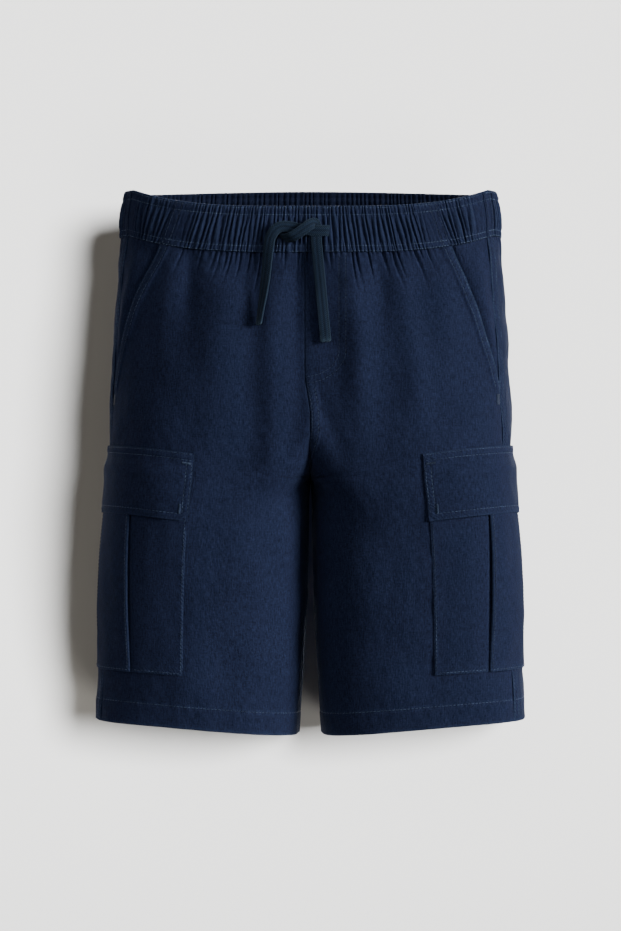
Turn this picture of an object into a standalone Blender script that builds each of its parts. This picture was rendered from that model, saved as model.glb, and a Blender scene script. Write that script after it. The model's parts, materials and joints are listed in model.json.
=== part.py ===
"""Pull-on cargo shorts for a child of about 140 cm, standing filled out as if worn.

The frame is in metres: +X is the wearer's left, -Y the front and +Z up. The origin is in the middle of
the waist, half-way down the waistband at the side seams, where the wearer holds the shorts up.

A place on the cloth is given by its drop, the distance below the waistband's top edge at the side
seams, and by its distance from a side seam or from the centre front, measured along the cloth.
"""

import math

import bmesh
import bpy
import numpy as np

# ---------------------------------------------------------------- driving sizes
TOP_Z = 0.018  # top edge of the waistband at the side seams
LENGTH = 0.4358  # from that edge to the hem, down the outer side
BAND_HEIGHT = 0.038
HEM_HEIGHT = 0.018
SEAM_GAP = 0.0003  # between two pieces that are sewn to each other
CLOTH = 0.0015  # wall of a panel
HEM_CLOTH = 0.0024  # wall of the turned-up hem
BAND_CLOTH = 0.0026  # wall of the waistband, two layers over an elastic
BAND_THINNEST = 0.65  # share of it left where the band lies flat
LYING_GAP = 0.0006  # between a panel and what is sewn on top of it

FRONT_DIP = 0.0165  # the centre front of the waist is cut this much lower than the sides
BACK_RISE = 0.0055  # and the centre back this much higher
DIP_ENDS = 0.150  # drop where neither shows any more
HEM_SLOPE = 0.0132  # the hem hangs lower at the inseam than at the outer side by this much
HEM_SLOPE_STARTS = 0.300
HEM_CURVE = 1.5  # above 1 the hem is level near the side seam and falls towards the inseam

# The outline of the garment at a few drops: the half width of the whole, how far front and back reach,
# the level of the widest point, the gap from the middle plane to a leg's inner face, and how much of
# a leg's own roundness the section has, from 0 for a torso to 1 for a leg.
DROP, HALF_WIDTH, FRONT, BACK, SIDE_LEVEL, INNER, SPLIT = range(7)
FORM = (
    (-0.004, 0.1537, -0.0518, 0.0528, 0.010, 0.0, 0.00),
    (0.000, 0.1540, -0.0520, 0.0530, 0.010, 0.0, 0.00),
    (0.040, 0.1577, -0.0560, 0.0580, 0.010, 0.0, 0.05),
    (0.090, 0.1619, -0.0660, 0.0720, 0.010, 0.0, 0.20),
    (0.150, 0.1655, -0.0730, 0.0870, 0.010, 0.0, 0.50),
    (0.197, 0.1670, -0.0742, 0.0918, 0.009, 0.0002, 0.75),
    (0.237, 0.1668, -0.0735, 0.0865, 0.008, 0.0002, 0.92),
    (0.256, 0.1682, -0.0725, 0.0815, 0.007, 0.0014, 0.97),
    (0.300, 0.1714, -0.0700, 0.0720, 0.006, 0.0020, 1.00),
    (0.339, 0.1737, -0.0670, 0.0650, 0.005, 0.0029, 1.00),
    (0.388, 0.1753, -0.0635, 0.0585, 0.004, 0.0062, 1.00),
    (0.440, 0.1784, -0.0600, 0.0530, 0.003, 0.0100, 1.00),
)
OUTER_ROUNDNESS = 2.5  # exponent of the outer corners, where 2 is an ellipse
INNER_ROUNDNESS = 2.5

# The crotch seam leaves the centre front and the centre back and meets the inseams at one point.
CROTCH_DROP = 0.237
CROTCH_Y = 0.008
CROTCH_STARTS_FRONT = 0.190
CROTCH_STARTS_BACK = 0.150
CROTCH_EASE = 0.075  # drop over which the cloth at a leg's crown follows the turn of the seam
LEAST_DELAY = 0.001

# The side seams lie in front of the widest point, because the back panels are cut wider.
SEAM_LEVEL = ((0.000, -0.0166), (0.173, -0.0226), (0.440, -0.0300))
# The wearer's left seam lies this much further forward than the right one, by drop.
LEFT_SEAM_FORWARD = (
    (-0.004, 0.0075), (0.048, 0.0085), (0.090, 0.0130), (0.174, 0.0160), (0.300, 0.0130), (0.440, 0.0090),
)
# The centre front seam runs this far to the wearer's right of the middle.
SEAM_SHIFT = 0.0045
SEAM_SHIFT_SPREAD = 0.045
SEAM_SHIFT_ENDS = 0.150  # drop from which the seam returns to the middle

# The slanted pocket opening: its distance from the side seam, measured along the cloth.
SLANT = (
    (-0.004, 0.0445), (0.0055, 0.0430), (0.043, 0.0340), (0.081, 0.0225), (0.120, 0.0130), (0.150, 0.0050),
    (0.165, 0.0),
)
SLANT_ENDS = 0.165
FACING_ENDS = 0.161
FACING_RECESS = 0.0005  # the cloth inside the opening lies this much deeper

# Soft folds. Each runs between two places given by drop and distance from the middle plane, and
# stands out or sinks in by its depth over its half width.
FOLD_X0, FOLD_DROP0, FOLD_X1, FOLD_DROP1, FOLD_HALF_WIDTH, FOLD_DEPTH = range(6)
FRONT_FOLDS = (
    (-0.006, 0.045, -0.005, 0.205, 0.008, -0.0024),
    (-0.024, 0.050, -0.021, 0.215, 0.011, 0.0030),
    (-0.040, 0.040, -0.041, 0.120, 0.007, -0.0022),
    (-0.058, 0.045, -0.062, 0.185, 0.014, 0.0024),
    (-0.088, 0.040, -0.090, 0.105, 0.007, -0.0028),
    (-0.106, 0.042, -0.112, 0.125, 0.009, 0.0018),
    (0.014, 0.045, 0.013, 0.110, 0.009, 0.0014),
    (0.033, 0.050, 0.031, 0.170, 0.007, -0.0034),
    (0.050, 0.050, 0.050, 0.215, 0.013, 0.0030),
    (0.077, 0.040, 0.081, 0.110, 0.007, -0.0028),
    (0.099, 0.042, 0.106, 0.130, 0.010, 0.0018),
    (0.005, 0.170, 0.026, 0.220, 0.006, -0.0018),
    (-0.010, 0.195, -0.030, 0.235, 0.007, -0.0014),
    (-0.092, 0.170, -0.078, 0.300, 0.022, -0.0022),
    (0.096, 0.180, 0.080, 0.310, 0.024, -0.0022),
    (-0.052, 0.260, -0.048, 0.440, 0.020, 0.0022),
    (0.054, 0.280, 0.062, 0.440, 0.022, 0.0020),
    (-0.086, 0.310, -0.088, 0.440, 0.016, -0.0016),
    (0.090, 0.320, 0.096, 0.440, 0.016, -0.0016),
)
BACK_FOLDS = (
    (-0.020, 0.042, -0.024, 0.130, 0.009, 0.0024),
    (0.024, 0.042, 0.028, 0.125, 0.009, 0.0024),
    (-0.040, 0.040, -0.044, 0.105, 0.007, -0.0022),
    (0.044, 0.040, 0.050, 0.110, 0.007, -0.0022),
    (0.064, 0.042, 0.072, 0.130, 0.011, 0.0022),
    (-0.066, 0.042, -0.074, 0.130, 0.011, 0.0022),
    (0.092, 0.042, 0.102, 0.120, 0.008, -0.0020),
    (-0.090, 0.042, -0.100, 0.120, 0.008, -0.0020),
    (0.120, 0.042, 0.128, 0.130, 0.010, 0.0016),
    (-0.120, 0.042, -0.128, 0.130, 0.010, 0.0016),
    (-0.030, 0.235, -0.080, 0.280, 0.011, -0.0032),
    (0.028, 0.240, 0.078, 0.290, 0.011, -0.0032),
    (-0.060, 0.300, -0.070, 0.440, 0.020, 0.0022),
    (0.066, 0.300, 0.062, 0.440, 0.020, 0.0022),
    (-0.100, 0.290, -0.106, 0.420, 0.016, -0.0016),
    (0.104, 0.290, 0.100, 0.420, 0.016, -0.0016),
)
FOLD_FADE, FOLD_TAIL = 0.024, 0.055  # drop over which a fold dies away at its upper and lower end

# Gathers of the elastic waistband, counted along each piece of it.
GATHERS_FRONT = 56
GATHERS_SIDE = 9
GATHERS_BACK = 98
GATHER_DEPTH = 0.0009
GATHER_UNEVENNESS = 0.5  # scatter of their widths
GATHER_SCATTER = 0.3  # scatter of their depths

# The waistband from its top edge down: drop, how far its outer face stands out, share of the gathers.
BAND_PROFILE = (
    (0.000, 0.0006, 0.60),
    (0.004, 0.0016, 0.80),
    (0.029, 0.0017, 1.00),
    (BAND_HEIGHT, 0.0006, 0.80),
)

# Rows of a leg panel, by drop. They crowd where the crotch seam turns under.
PANEL_ROWS = (
    BAND_HEIGHT + SEAM_GAP, 0.050, 0.066, 0.085, 0.110, 0.139, SLANT_ENDS, 0.180, 0.197, 0.212, 0.223,
    0.230, 0.2345, CROTCH_DROP, 0.250, 0.272, 0.300, 0.340, 0.380, LENGTH - HEM_HEIGHT - 0.002,
    LENGTH - HEM_HEIGHT, LENGTH,
)
FRONT_COLUMNS = 20
BACK_COLUMNS = 18
FACING_COLUMNS = 3

# The cargo pocket, about the side seam: distances are positive towards the front, and they are those
# at the top of the flap. The pocket narrows downwards about its own middle.
POCKET_MIDDLE = 0.0152
NARROWING = 0.83  # part of its width lost for each metre further down
FLAP_FRONT, FLAP_BACK = 0.0915, -0.0611
BAG_FRONT, BAG_BACK = 0.0905, -0.0601
FLAP_TOP, FLAP_BOTTOM = 0.2105, 0.2655  # drops at the side seam
BAG_TOP, BAG_BOTTOM = 0.2275, 0.3930
BAG_ROWS = (BAG_TOP, 0.2455, FLAP_BOTTOM, 0.290, 0.325, 0.358, 0.382, BAG_BOTTOM)
# The pocket's level edges lie this much lower at its front edge, by drop.
FRONT_DROOP = ((0.200, 0.0070), (0.2655, 0.0065), (0.330, 0.0030), (0.400, 0.0))
LAYER_STEP = 0.006  # widest column of what lies on a panel
PLEAT_OPEN_FROM, PLEAT_OPEN_TO = 0.269, 0.360
PLEAT_LIFT = 0.0002
# Across the bag: distance from the side seam and height of the outer face over the panel. A box pleat
# lies over two grooves.
BAG_PROFILE = (
    (BAG_FRONT, 0.0016), (0.086, 0.0019), (0.048, 0.0019), (0.0425, 0.0016), (0.0402, 0.0016),
    (0.0392, 0.0030), (-0.0088, 0.0030), (-0.0098, 0.0016), (-0.0121, 0.0016), (-0.018, 0.0019),
    (-0.056, 0.0019), (BAG_BACK, 0.0016),
)
# Down the flap: distance from its top edge, height of its inner and of its outer face over the panel.
FLAP_PROFILE = (
    (0.000, LYING_GAP, 0.0019), (0.009, LYING_GAP, 0.0023), (0.0155, 0.0036, 0.0048), (0.035, 0.0036, 0.0049),
    (0.055, 0.0036, 0.0046),
)

# The drawcord: a flat cord that leaves two holes in the band, crosses in a half knot and hangs down.
CORD_WIDTH = 0.009
CORD_THICK = 0.0022
CORD_SIDES = 8
CORD_SQUARENESS = 0.5  # 1 for an ellipse and less for a strip with rounded edges
# Each tail: distance from the centre front along the cloth, drop, height of the cord's middle over the cloth.
RIGHT_TAIL = (
    (-0.0300, 0.0275, 0.0056), (-0.0311, 0.0370, 0.0048), (-0.0320, 0.0460, 0.0040),
    (-0.0328, 0.0560, 0.0036), (-0.0338, 0.0670, 0.0036), (-0.0350, 0.0780, 0.0036),
    (-0.0365, 0.0890, 0.0036), (-0.0380, 0.1000, 0.0034), (-0.0395, 0.1105, 0.0032),
)
LEFT_TAIL = (
    (0.0088, 0.0265, 0.0056), (0.0096, 0.0360, 0.0048), (0.0105, 0.0470, 0.0042),
    (0.0114, 0.0580, 0.0040), (0.0123, 0.0700, 0.0040), (0.0131, 0.0820, 0.0040),
    (0.0139, 0.0935, 0.0038), (0.0147, 0.1050, 0.0036), (0.0155, 0.1160, 0.0034),
    (0.0162, 0.1265, 0.0032),
)
KNOT_LEFT, KNOT_RIGHT = 0.0225, -0.0335  # the knot's reach to either side of the centre front
KNOT_DROP = 0.0190
KNOT_HEIGHT = 0.0130
KNOT_DEPTH = 0.0068
KNOT_STAND = 0.0034  # gap between the cloth's level and the knot's back
KNOT_SQUARENESS = 0.45  # 1 for an ellipse and less for a bar with rounded ends
KNOT_FULLNESS = 1.3  # above 1 the bar's rings lie closer together at its middle
KNOT_SIDES, KNOT_RINGS = 14, 12

SECTION_POINTS = 240  # points computed along each quarter of a section
TABLE_STEP = 0.0005  # drop between two stored sections
TABLE_POINTS = 181  # points stored along each half of a section

COLOURS = {
    "navy_twill": (0.013, 0.028, 0.075, 1.0),
    "flat_cord": (0.010, 0.028, 0.052, 1.0),
}
CLOTH_ROUGHNESS = 0.9
CREASE_ANGLE = math.radians(50)


# ---------------------------------------------------------------- curves through tables
def smooth(table, column, at):
    """Values of a table's column at the given first-column values, on a curve that never overshoots."""
    at = np.asarray(at, float)
    x = np.array([row[0] for row in table])
    y = np.array([row[column] for row in table])
    rise = np.diff(y) / np.diff(x)
    slope = np.zeros(len(x))
    slope[0] = rise[0]
    slope[-1] = rise[-1]
    for k in range(1, len(x) - 1):
        if rise[k - 1] * rise[k] > 0:
            slope[k] = 2 * rise[k - 1] * rise[k] / (rise[k - 1] + rise[k])
    k = np.clip(np.searchsorted(x, at) - 1, 0, len(x) - 2)
    width = x[k + 1] - x[k]
    t = np.clip((at - x[k]) / width, 0.0, 1.0)
    start = y[k] * (1 + 2 * t) * (1 - t) ** 2 + slope[k] * width * t * (1 - t) ** 2
    end = y[k + 1] * t * t * (3 - 2 * t) + slope[k + 1] * width * t * t * (t - 1)
    return start + end


def ease(low, high, at):
    """0 below low, 1 above high, and smooth between."""
    t = np.clip((np.asarray(at, float) - low) / (high - low), 0.0, 1.0)
    return t * t * (3 - 2 * t)


def uneven(number, seed):
    """A repeatable scatter between -1 and 1."""
    value = math.sin(number * 12.9898 + seed * 78.233) * 43758.5453
    return 2 * (value - math.floor(value)) - 1


def spread(*values):
    """Numbers and arrays as arrays of one shape."""
    return np.broadcast_arrays(*(np.asarray(value, float) for value in values))


def resampled(points, count):
    """A polyline again, with that many points equally far apart, and its length."""
    along = np.concatenate([[0.0], np.cumsum(np.linalg.norm(np.diff(points, axis=0), axis=1))])
    at = np.linspace(0.0, along[-1], count)
    return np.stack([np.interp(at, along, points[:, k]) for k in range(2)], axis=1), along[-1]


# ---------------------------------------------------------------- the form that the cloth takes
def crotch_share(drop, starts, nearness):
    """How far the cloth has turned inwards to a leg's own roundness, from 0 to 1.

    Nearness is 0 at the leg's crown and 1 at the crotch seam. The seam turns under at the crotch. Away
    from it the cloth follows more and more slowly, so that no crease runs across the leg.
    """

    def summed(t):
        """The seam's own turn, 1 - sqrt(1 - t * t) up to 1 and 1 beyond, added up from 0 to t."""
        within = np.clip(t, 0.0, 1.0)
        arc = (within * np.sqrt(1 - within * within) + np.arcsin(within)) / 2
        return within - arc + np.maximum(t - 1, 0.0)

    span = CROTCH_DROP - starts
    now = (drop - starts) / span
    delay = np.maximum(CROTCH_EASE * (1 - nearness) / span, LEAST_DELAY)
    return (summed(now) - summed(now - delay)) / delay


def section(drop):
    """One horizontal half section: points from the side seam to the centre front, and to the centre back."""
    half_width, front, back, side, inner, split = (
        float(smooth(FORM, column, drop)) for column in (HALF_WIDTH, FRONT, BACK, SIDE_LEVEL, INNER, SPLIT)
    )
    crown = inner + split * (half_width - inner) / 2
    seam = float(smooth(SEAM_LEVEL, 1, drop))
    power = 2 / OUTER_ROUNDNESS

    def outer_quarter(angle, reach):
        """From the widest point towards the crown, reaching that far from its level."""
        x = crown + (half_width - crown) * np.abs(np.cos(angle)) ** power
        return np.stack([x, side + reach * np.sin(angle) ** power], axis=1)

    start = math.asin(((side - seam) / (side - front)) ** (OUTER_ROUNDNESS / 2))
    angle = np.linspace(start, math.pi / 2, SECTION_POINTS)
    outer_front = outer_quarter(angle, front - side)
    angle = np.linspace(start, 0.0, SECTION_POINTS)
    past_seam = outer_quarter(angle, front - side)
    angle = np.linspace(0.0, math.pi / 2, SECTION_POINTS)[1:]
    outer_back = outer_quarter(angle, back - side)
    turn = 2 / INNER_ROUNDNESS

    def inner_quarter(level, starts):
        """From the crown of the front or the back to the crotch seam or inseam."""
        nearness = np.sin(angle) ** turn
        end = level + crotch_share(drop, starts, nearness) * (CROTCH_Y - level)
        y = end + (level - end) * np.abs(np.cos(angle)) ** turn
        return np.stack([crown - (crown - inner) * nearness, y], axis=1)

    front_half = np.concatenate([outer_front, inner_quarter(front, CROTCH_STARTS_FRONT)])
    back_half = np.concatenate([past_seam, outer_back, inner_quarter(back, CROTCH_STARTS_BACK)])
    return front_half, back_half


class Form:
    """The worn shape of the cloth's outer face, stored as sections and read between them."""

    def __init__(self):
        self.drops = np.arange(FORM[0][0], FORM[-1][0] + TABLE_STEP, TABLE_STEP)
        self.points = {"front": [], "back": []}
        self.lengths = {"front": [], "back": []}
        for drop in self.drops:
            for face, line in zip(("front", "back"), section(drop)):
                line, length = resampled(line, TABLE_POINTS)
                self.points[face].append(self._raised(face, line, drop))
                self.lengths[face].append(length)
        self.normals = {}
        for face in self.points:
            grid = np.array(self.points[face])
            across = np.gradient(grid, axis=1)
            down = np.gradient(grid, axis=0)
            normal = np.cross(across, down) if face == "front" else np.cross(down, across)
            self.points[face] = grid
            self.lengths[face] = np.array(self.lengths[face])
            self.normals[face] = normal / np.linalg.norm(normal, axis=2, keepdims=True)

    @staticmethod
    def _raised(face, line, drop):
        """The section's points with their heights: the waist dips at the front and the hem slopes."""
        x, y = line[:, 0].copy(), line[:, 1]
        half_width = float(smooth(FORM, HALF_WIDTH, drop))
        inner = float(smooth(FORM, INNER, drop))
        middle = 1 - (x / half_width) ** 2
        dip = FRONT_DIP if face == "front" else -BACK_RISE
        slope = HEM_SLOPE * (np.clip(half_width - x, 0.0, None) / (half_width - inner)) ** HEM_CURVE
        z = (
            TOP_Z
            - drop
            - dip * middle * (1 - ease(BAND_HEIGHT, DIP_ENDS, drop))
            - slope * ease(HEM_SLOPE_STARTS, LENGTH, drop)
        )
        return np.stack([x, y, z], axis=1)

    def length(self, side, face, drop):
        """Length along the cloth from the side seam to the inner edge."""
        ahead = seam_forward(side, drop)
        return np.interp(drop, self.drops, self.lengths[face]) + (-ahead if face == "front" else ahead)

    def _read(self, table, share, drop):
        row = np.clip((drop - self.drops[0]) / TABLE_STEP, 0, len(self.drops) - 1.001)
        column = np.clip(share * (TABLE_POINTS - 1), 0, TABLE_POINTS - 1.001)
        i, j = row.astype(int), column.astype(int)
        a, b = (row - i)[..., None], (column - j)[..., None]
        return (
            table[i, j] * (1 - a) * (1 - b)
            + table[i + 1, j] * a * (1 - b)
            + table[i, j + 1] * (1 - a) * b
            + table[i + 1, j + 1] * a * b
        )

    def cloth(self, side, face, from_seam, drop, height):
        """Points at a height over the cloth's outer face.

        side is 1 for the wearer's left and -1 for the right, face is front or back, and from_seam is the
        distance from the side seam along the cloth.
        """
        return self.about_seam(side, from_seam if face == "front" else -np.asarray(from_seam), drop, height)

    def about_seam(self, side, from_seam, drop, height):
        """As cloth, with from_seam positive towards the front and negative towards the back."""
        from_seam, drop, height = spread(from_seam, drop, height)
        ahead = from_seam + seam_forward(side, drop)
        front = self._half(side, "front", np.maximum(ahead, 0.0), drop, height)
        back = self._half(side, "back", np.maximum(-ahead, 0.0), drop, height)
        return np.where((ahead >= 0)[..., None], front, back)

    def _half(self, side, half, along, drop, height):
        """Points of the front or back half, at distances from the line where the halves meet."""
        share = along / np.interp(drop, self.drops, self.lengths[half])
        point = self._read(self.points[half], share, drop)
        normal = self._read(self.normals[half], share, drop)
        normal = normal / np.linalg.norm(normal, axis=-1, keepdims=True)
        signs = np.array([side, 1.0, 1.0])
        point, normal = point * signs, normal * signs
        if half == "front":
            shift = SEAM_SHIFT * (1 - ease(SEAM_SHIFT_ENDS, CROTCH_STARTS_FRONT, drop))
            point[..., 0] -= shift * np.exp(-((point[..., 0] / SEAM_SHIFT_SPREAD) ** 2))
        lift = height + folds(half, point[..., 0], drop)
        return point + normal * lift[..., None]

    def about_centre(self, face, from_centre, drop, height):
        """As cloth, with from_centre measured from the middle and positive towards the wearer's left."""
        from_centre, drop, height = spread(from_centre, drop, height)
        sides = []
        for side in (1, -1):
            from_seam = self.length(side, face, drop) - np.abs(from_centre)
            sides.append(self.cloth(side, face, from_seam, drop, height))
        return np.where((from_centre >= 0)[..., None], *sides)


def seam_forward(side, drop):
    """How far a side seam lies in front of the line where the front and back halves meet."""
    return smooth(LEFT_SEAM_FORWARD, 1, drop) if side > 0 else np.zeros(np.shape(drop))


def folds(face, x, drop):
    """How far the soft folds lift the cloth, or sink it."""
    lift = np.zeros(np.shape(x))
    for row in FRONT_FOLDS if face == "front" else BACK_FOLDS:
        along = np.clip((drop - row[FOLD_DROP0]) / (row[FOLD_DROP1] - row[FOLD_DROP0]), 0.0, 1.0)
        middle = row[FOLD_X0] + along * (row[FOLD_X1] - row[FOLD_X0])
        shown = ease(row[FOLD_DROP0] - FOLD_FADE, row[FOLD_DROP0] + FOLD_FADE, drop)
        shown = shown * (1 - ease(row[FOLD_DROP1] - FOLD_TAIL, row[FOLD_DROP1] + FOLD_TAIL, drop))
        lift += row[FOLD_DEPTH] * shown * np.exp(-(((x - middle) / row[FOLD_HALF_WIDTH]) ** 2))
    return lift


# ---------------------------------------------------------------- building solids
def finish(slot):
    """The material of one slot, made once."""
    material = bpy.data.materials.get(slot) or bpy.data.materials.new(slot)
    material.use_nodes = True
    shader = material.node_tree.nodes["Principled BSDF"]
    shader.inputs["Base Color"].default_value = COLOURS[slot]
    shader.inputs["Roughness"].default_value = CLOTH_ROUGHNESS
    shader.inputs["Metallic"].default_value = 0.0
    material.diffuse_color = COLOURS[slot]
    return material


def add_object(name, bm, slot):
    """The finished mesh as an object in the scene."""
    bmesh.ops.recalc_face_normals(bm, faces=bm.faces[:])
    if bm.calc_volume(signed=True) < 0:
        bmesh.ops.reverse_faces(bm, faces=bm.faces[:])
    mesh = bpy.data.meshes.new(name)
    bm.to_mesh(mesh)
    bm.free()
    mesh.shade_smooth()
    mesh.set_sharp_from_angle(angle=CREASE_ANGLE)
    obj = bpy.data.objects.new(name, mesh)
    obj.data.materials.append(finish(slot))
    bpy.context.scene.collection.objects.link(obj)
    return obj


def wall(name, outer, inner, slot="navy_twill"):
    """A closed wall between two faces given as grids of points, rows by columns."""
    rows, columns = outer.shape[:2]
    bm = bmesh.new()
    bmesh.ops.create_grid(bm, x_segments=columns - 1, y_segments=rows - 1, size=1.0)
    place = bm.verts.layers.int.new("place")
    for number, vertex in enumerate(bm.verts):
        vertex[place] = number
    extruded = bmesh.ops.extrude_face_region(bm, geom=bm.faces[:], use_keep_orig=True)
    lifted = {item for item in extruded["geom"] if isinstance(item, bmesh.types.BMVert)}
    faces = {True: outer.reshape(-1, 3), False: inner.reshape(-1, 3)}
    for vertex in bm.verts:
        vertex.co = faces[vertex in lifted][vertex[place]]
    return add_object(name, bm, slot)


def grid(rows, columns):
    """Row and column values spread over a grid."""
    return np.meshgrid(np.asarray(rows, float), np.asarray(columns, float), indexing="ij")


def slant(drop):
    """Distance of the pocket opening from the side seam, and 0 below its end."""
    return np.where(np.asarray(drop) < SLANT_ENDS, smooth(SLANT, 1, drop), 0.0)


def leg_panel(form, name, side, face):
    """A front or back panel, from the waistband to the hem and from the side seam to the inner seams."""
    columns = FRONT_COLUMNS if face == "front" else BACK_COLUMNS
    drop, share = grid(PANEL_ROWS, np.linspace(0.0, 1.0, columns + 1))
    start = SEAM_GAP / 2 + (slant(drop) if face == "front" else 0.0)
    end = form.length(side, face, drop) - SEAM_GAP / 2
    from_seam = start + share * (end - start)
    if face == "back" and side > 0:
        # One column more lies where the form's halves meet.
        meet = seam_forward(side, drop)
        from_seam = np.concatenate([from_seam[:, :1], meet + share * (end - meet)], axis=1)
        drop = np.concatenate([drop[:, :1], drop], axis=1)
    turned_up = drop > LENGTH - HEM_HEIGHT - SEAM_GAP
    thick = np.where(turned_up, HEM_CLOTH, CLOTH)
    outer = form.cloth(side, face, from_seam, drop, 0.0)
    inner = form.cloth(side, face, from_seam, drop, -thick)
    return wall(name, outer, inner)


def hip_facing(form, name, side):
    """The cloth that shows inside the slanted pocket opening, from the opening to the side seam."""
    rows = [row for row in PANEL_ROWS if row < FACING_ENDS] + [FACING_ENDS]
    drop, share = grid(rows, np.linspace(0.0, 1.0, FACING_COLUMNS + 1))
    start = SEAM_GAP / 2
    end = slant(drop) - SEAM_GAP / 2
    from_seam = start + share * (end - start)
    outer = form.cloth(side, "front", from_seam, drop, -FACING_RECESS)
    inner = form.cloth(side, "front", from_seam, drop, -FACING_RECESS - CLOTH)
    return wall(name, outer, inner)


def gather_columns(count, seed):
    """Shares along a piece at which its gathers rise and fall, and how far each does."""
    steps = np.array([1 + GATHER_UNEVENNESS * uneven(k, seed) for k in range(2 * count)])
    share = np.concatenate([[0.0], np.cumsum(steps)]) / steps.sum()
    depth = np.array([(-1) ** k * (1 + GATHER_SCATTER * uneven(k, seed + 1)) for k in range(2 * count + 1)])
    depth[0] = depth[-1] = 0.0
    return share, depth * GATHER_DEPTH


def band_piece(form, name, share, depth, place, recess=0.0):
    """A gathered piece of the waistband. place turns shares, drops and heights into points."""
    rows = [row[0] for row in BAND_PROFILE]
    drop, share = grid(rows, share)
    stand = np.array([row[1] for row in BAND_PROFILE])[:, None] - recess
    fullness = np.array([row[2] for row in BAND_PROFILE])[:, None]
    height = stand + fullness * depth[None, :]
    thick = BAND_CLOTH * (BAND_THINNEST + (1 - BAND_THINNEST) * fullness)
    return wall(name, place(share, drop, height), place(share, drop, height - thick))


def waistband(form):
    """The elastic waistband: a front between the pocket openings, two sides and a back."""

    def across(share, ends):
        """Distance from the middle, positive towards the wearer's left, between the ends on each side."""
        return np.interp(share, (0.0, 0.5, 1.0), (-1.0, 0.0, 1.0)) * np.where(share < 0.5, ends[-1], ends[1])

    def front(share, drop, height):
        ends = {side: form.length(side, "front", drop) - slant(drop) - SEAM_GAP / 2 for side in (1, -1)}
        return form.about_centre("front", across(share, ends), drop, height)

    def back(share, drop, height):
        ends = {side: form.length(side, "back", drop) - SEAM_GAP / 2 for side in (1, -1)}
        return form.about_centre("back", across(share, ends), drop, height)

    band_piece(form, "waistband_front", *gather_columns(GATHERS_FRONT, 1), front)
    band_piece(form, "waistband_back", *gather_columns(GATHERS_BACK, 2), back)
    for name, side, seed in (("left", 1, 3), ("right", -1, 4)):

        def edge(share, drop, height, side=side):
            start = SEAM_GAP / 2
            end = slant(drop) - SEAM_GAP / 2
            return form.cloth(side, "front", start + share * (end - start), drop, height)

        band_piece(form, "waistband_side_" + name, *gather_columns(GATHERS_SIDE, seed), edge, FACING_RECESS)


def layer_columns(front, back, breaks):
    """Distances from the side seam, from front to back, through all breaks and never far apart."""
    columns = [front]
    for stop in sorted({b for b in breaks if back < b < front} | {back}, reverse=True):
        steps = max(1, math.ceil((columns[-1] - stop) / LAYER_STEP - 1e-6))
        columns += list(np.linspace(columns[-1], stop, steps + 1)[1:])
    return np.array(columns)


def pocket_place(side, across, drop):
    """Distance from the side seam and drop, for a distance at the flap's top and a drop at the seam."""
    from_middle = (across - POCKET_MIDDLE) * (1 - NARROWING * (drop - FLAP_TOP))
    lower = smooth(FRONT_DROOP, 1, drop) * (across / BAG_FRONT) ** 2
    return POCKET_MIDDLE + from_middle - seam_forward(side, drop), drop + lower


def cargo_pocket(form, name, side):
    """The bag of a cargo pocket, about the side seam, with a box pleat down its middle."""
    columns = layer_columns(BAG_FRONT, BAG_BACK, [row[0] for row in BAG_PROFILE])
    rows = np.array(BAG_ROWS)
    drop, across = grid(rows, columns)
    profile = np.interp(across, *np.array(sorted(BAG_PROFILE)).T)
    # The pleat is stitched shut at both ends of the bag.
    open_share = ease(BAG_TOP, PLEAT_OPEN_FROM, rows) * (1 - ease(PLEAT_OPEN_TO, BAG_BOTTOM, rows))
    height = profile + PLEAT_LIFT * open_share[:, None]
    across, drop = pocket_place(side, across, drop)
    outer = form.about_seam(side, across, drop, height)
    inner = form.about_seam(side, across, drop, LYING_GAP)
    return wall(name, outer, inner)


def cargo_flap(form, name, side):
    """The flap over the mouth of a cargo pocket."""
    columns = layer_columns(FLAP_FRONT, FLAP_BACK, [row[0] for row in BAG_PROFILE])
    down = [row[0] for row in FLAP_PROFILE]
    drop, across = grid([FLAP_TOP + d for d in down], columns)
    across, drop = pocket_place(side, across, drop)
    inner = form.about_seam(side, across, drop, np.array([row[1] for row in FLAP_PROFILE])[:, None])
    outer = form.about_seam(side, across, drop, np.array([row[2] for row in FLAP_PROFILE])[:, None])
    return wall(name, outer, inner)


def cord_tail(form, name, route):
    """A hanging end of the flat drawcord: a rounded strip along its route."""
    route = np.array(route)
    middle = form.about_centre("front", route[:, 0], route[:, 1], route[:, 2])
    along = np.gradient(middle, axis=0)
    along /= np.linalg.norm(along, axis=1, keepdims=True)
    forward = np.array([0.0, -1.0, 0.0])
    out = forward - along * (along @ forward)[:, None]
    out /= np.linalg.norm(out, axis=1, keepdims=True)
    across = np.cross(along, out)
    turns = (np.arange(CORD_SIDES) + 0.5) * 2 * math.pi / CORD_SIDES
    round_x = np.sign(np.cos(turns)) * np.abs(np.cos(turns)) ** CORD_SQUARENESS * CORD_WIDTH / 2
    round_y = np.sin(turns) * CORD_THICK / 2
    bm = bmesh.new()
    rings = []
    for centre, wide, high in zip(middle, across, out):
        ring = [bm.verts.new(centre + wide * a + high * b) for a, b in zip(round_x, round_y)]
        rings.append(ring)
    bm.faces.new(rings[0])
    bm.faces.new(rings[-1])
    for low, high in zip(rings, rings[1:]):
        for k in range(len(low)):
            bm.faces.new((low[k], low[k - 1], high[k - 1], high[k]))
    return add_object(name, bm, "flat_cord")


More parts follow.
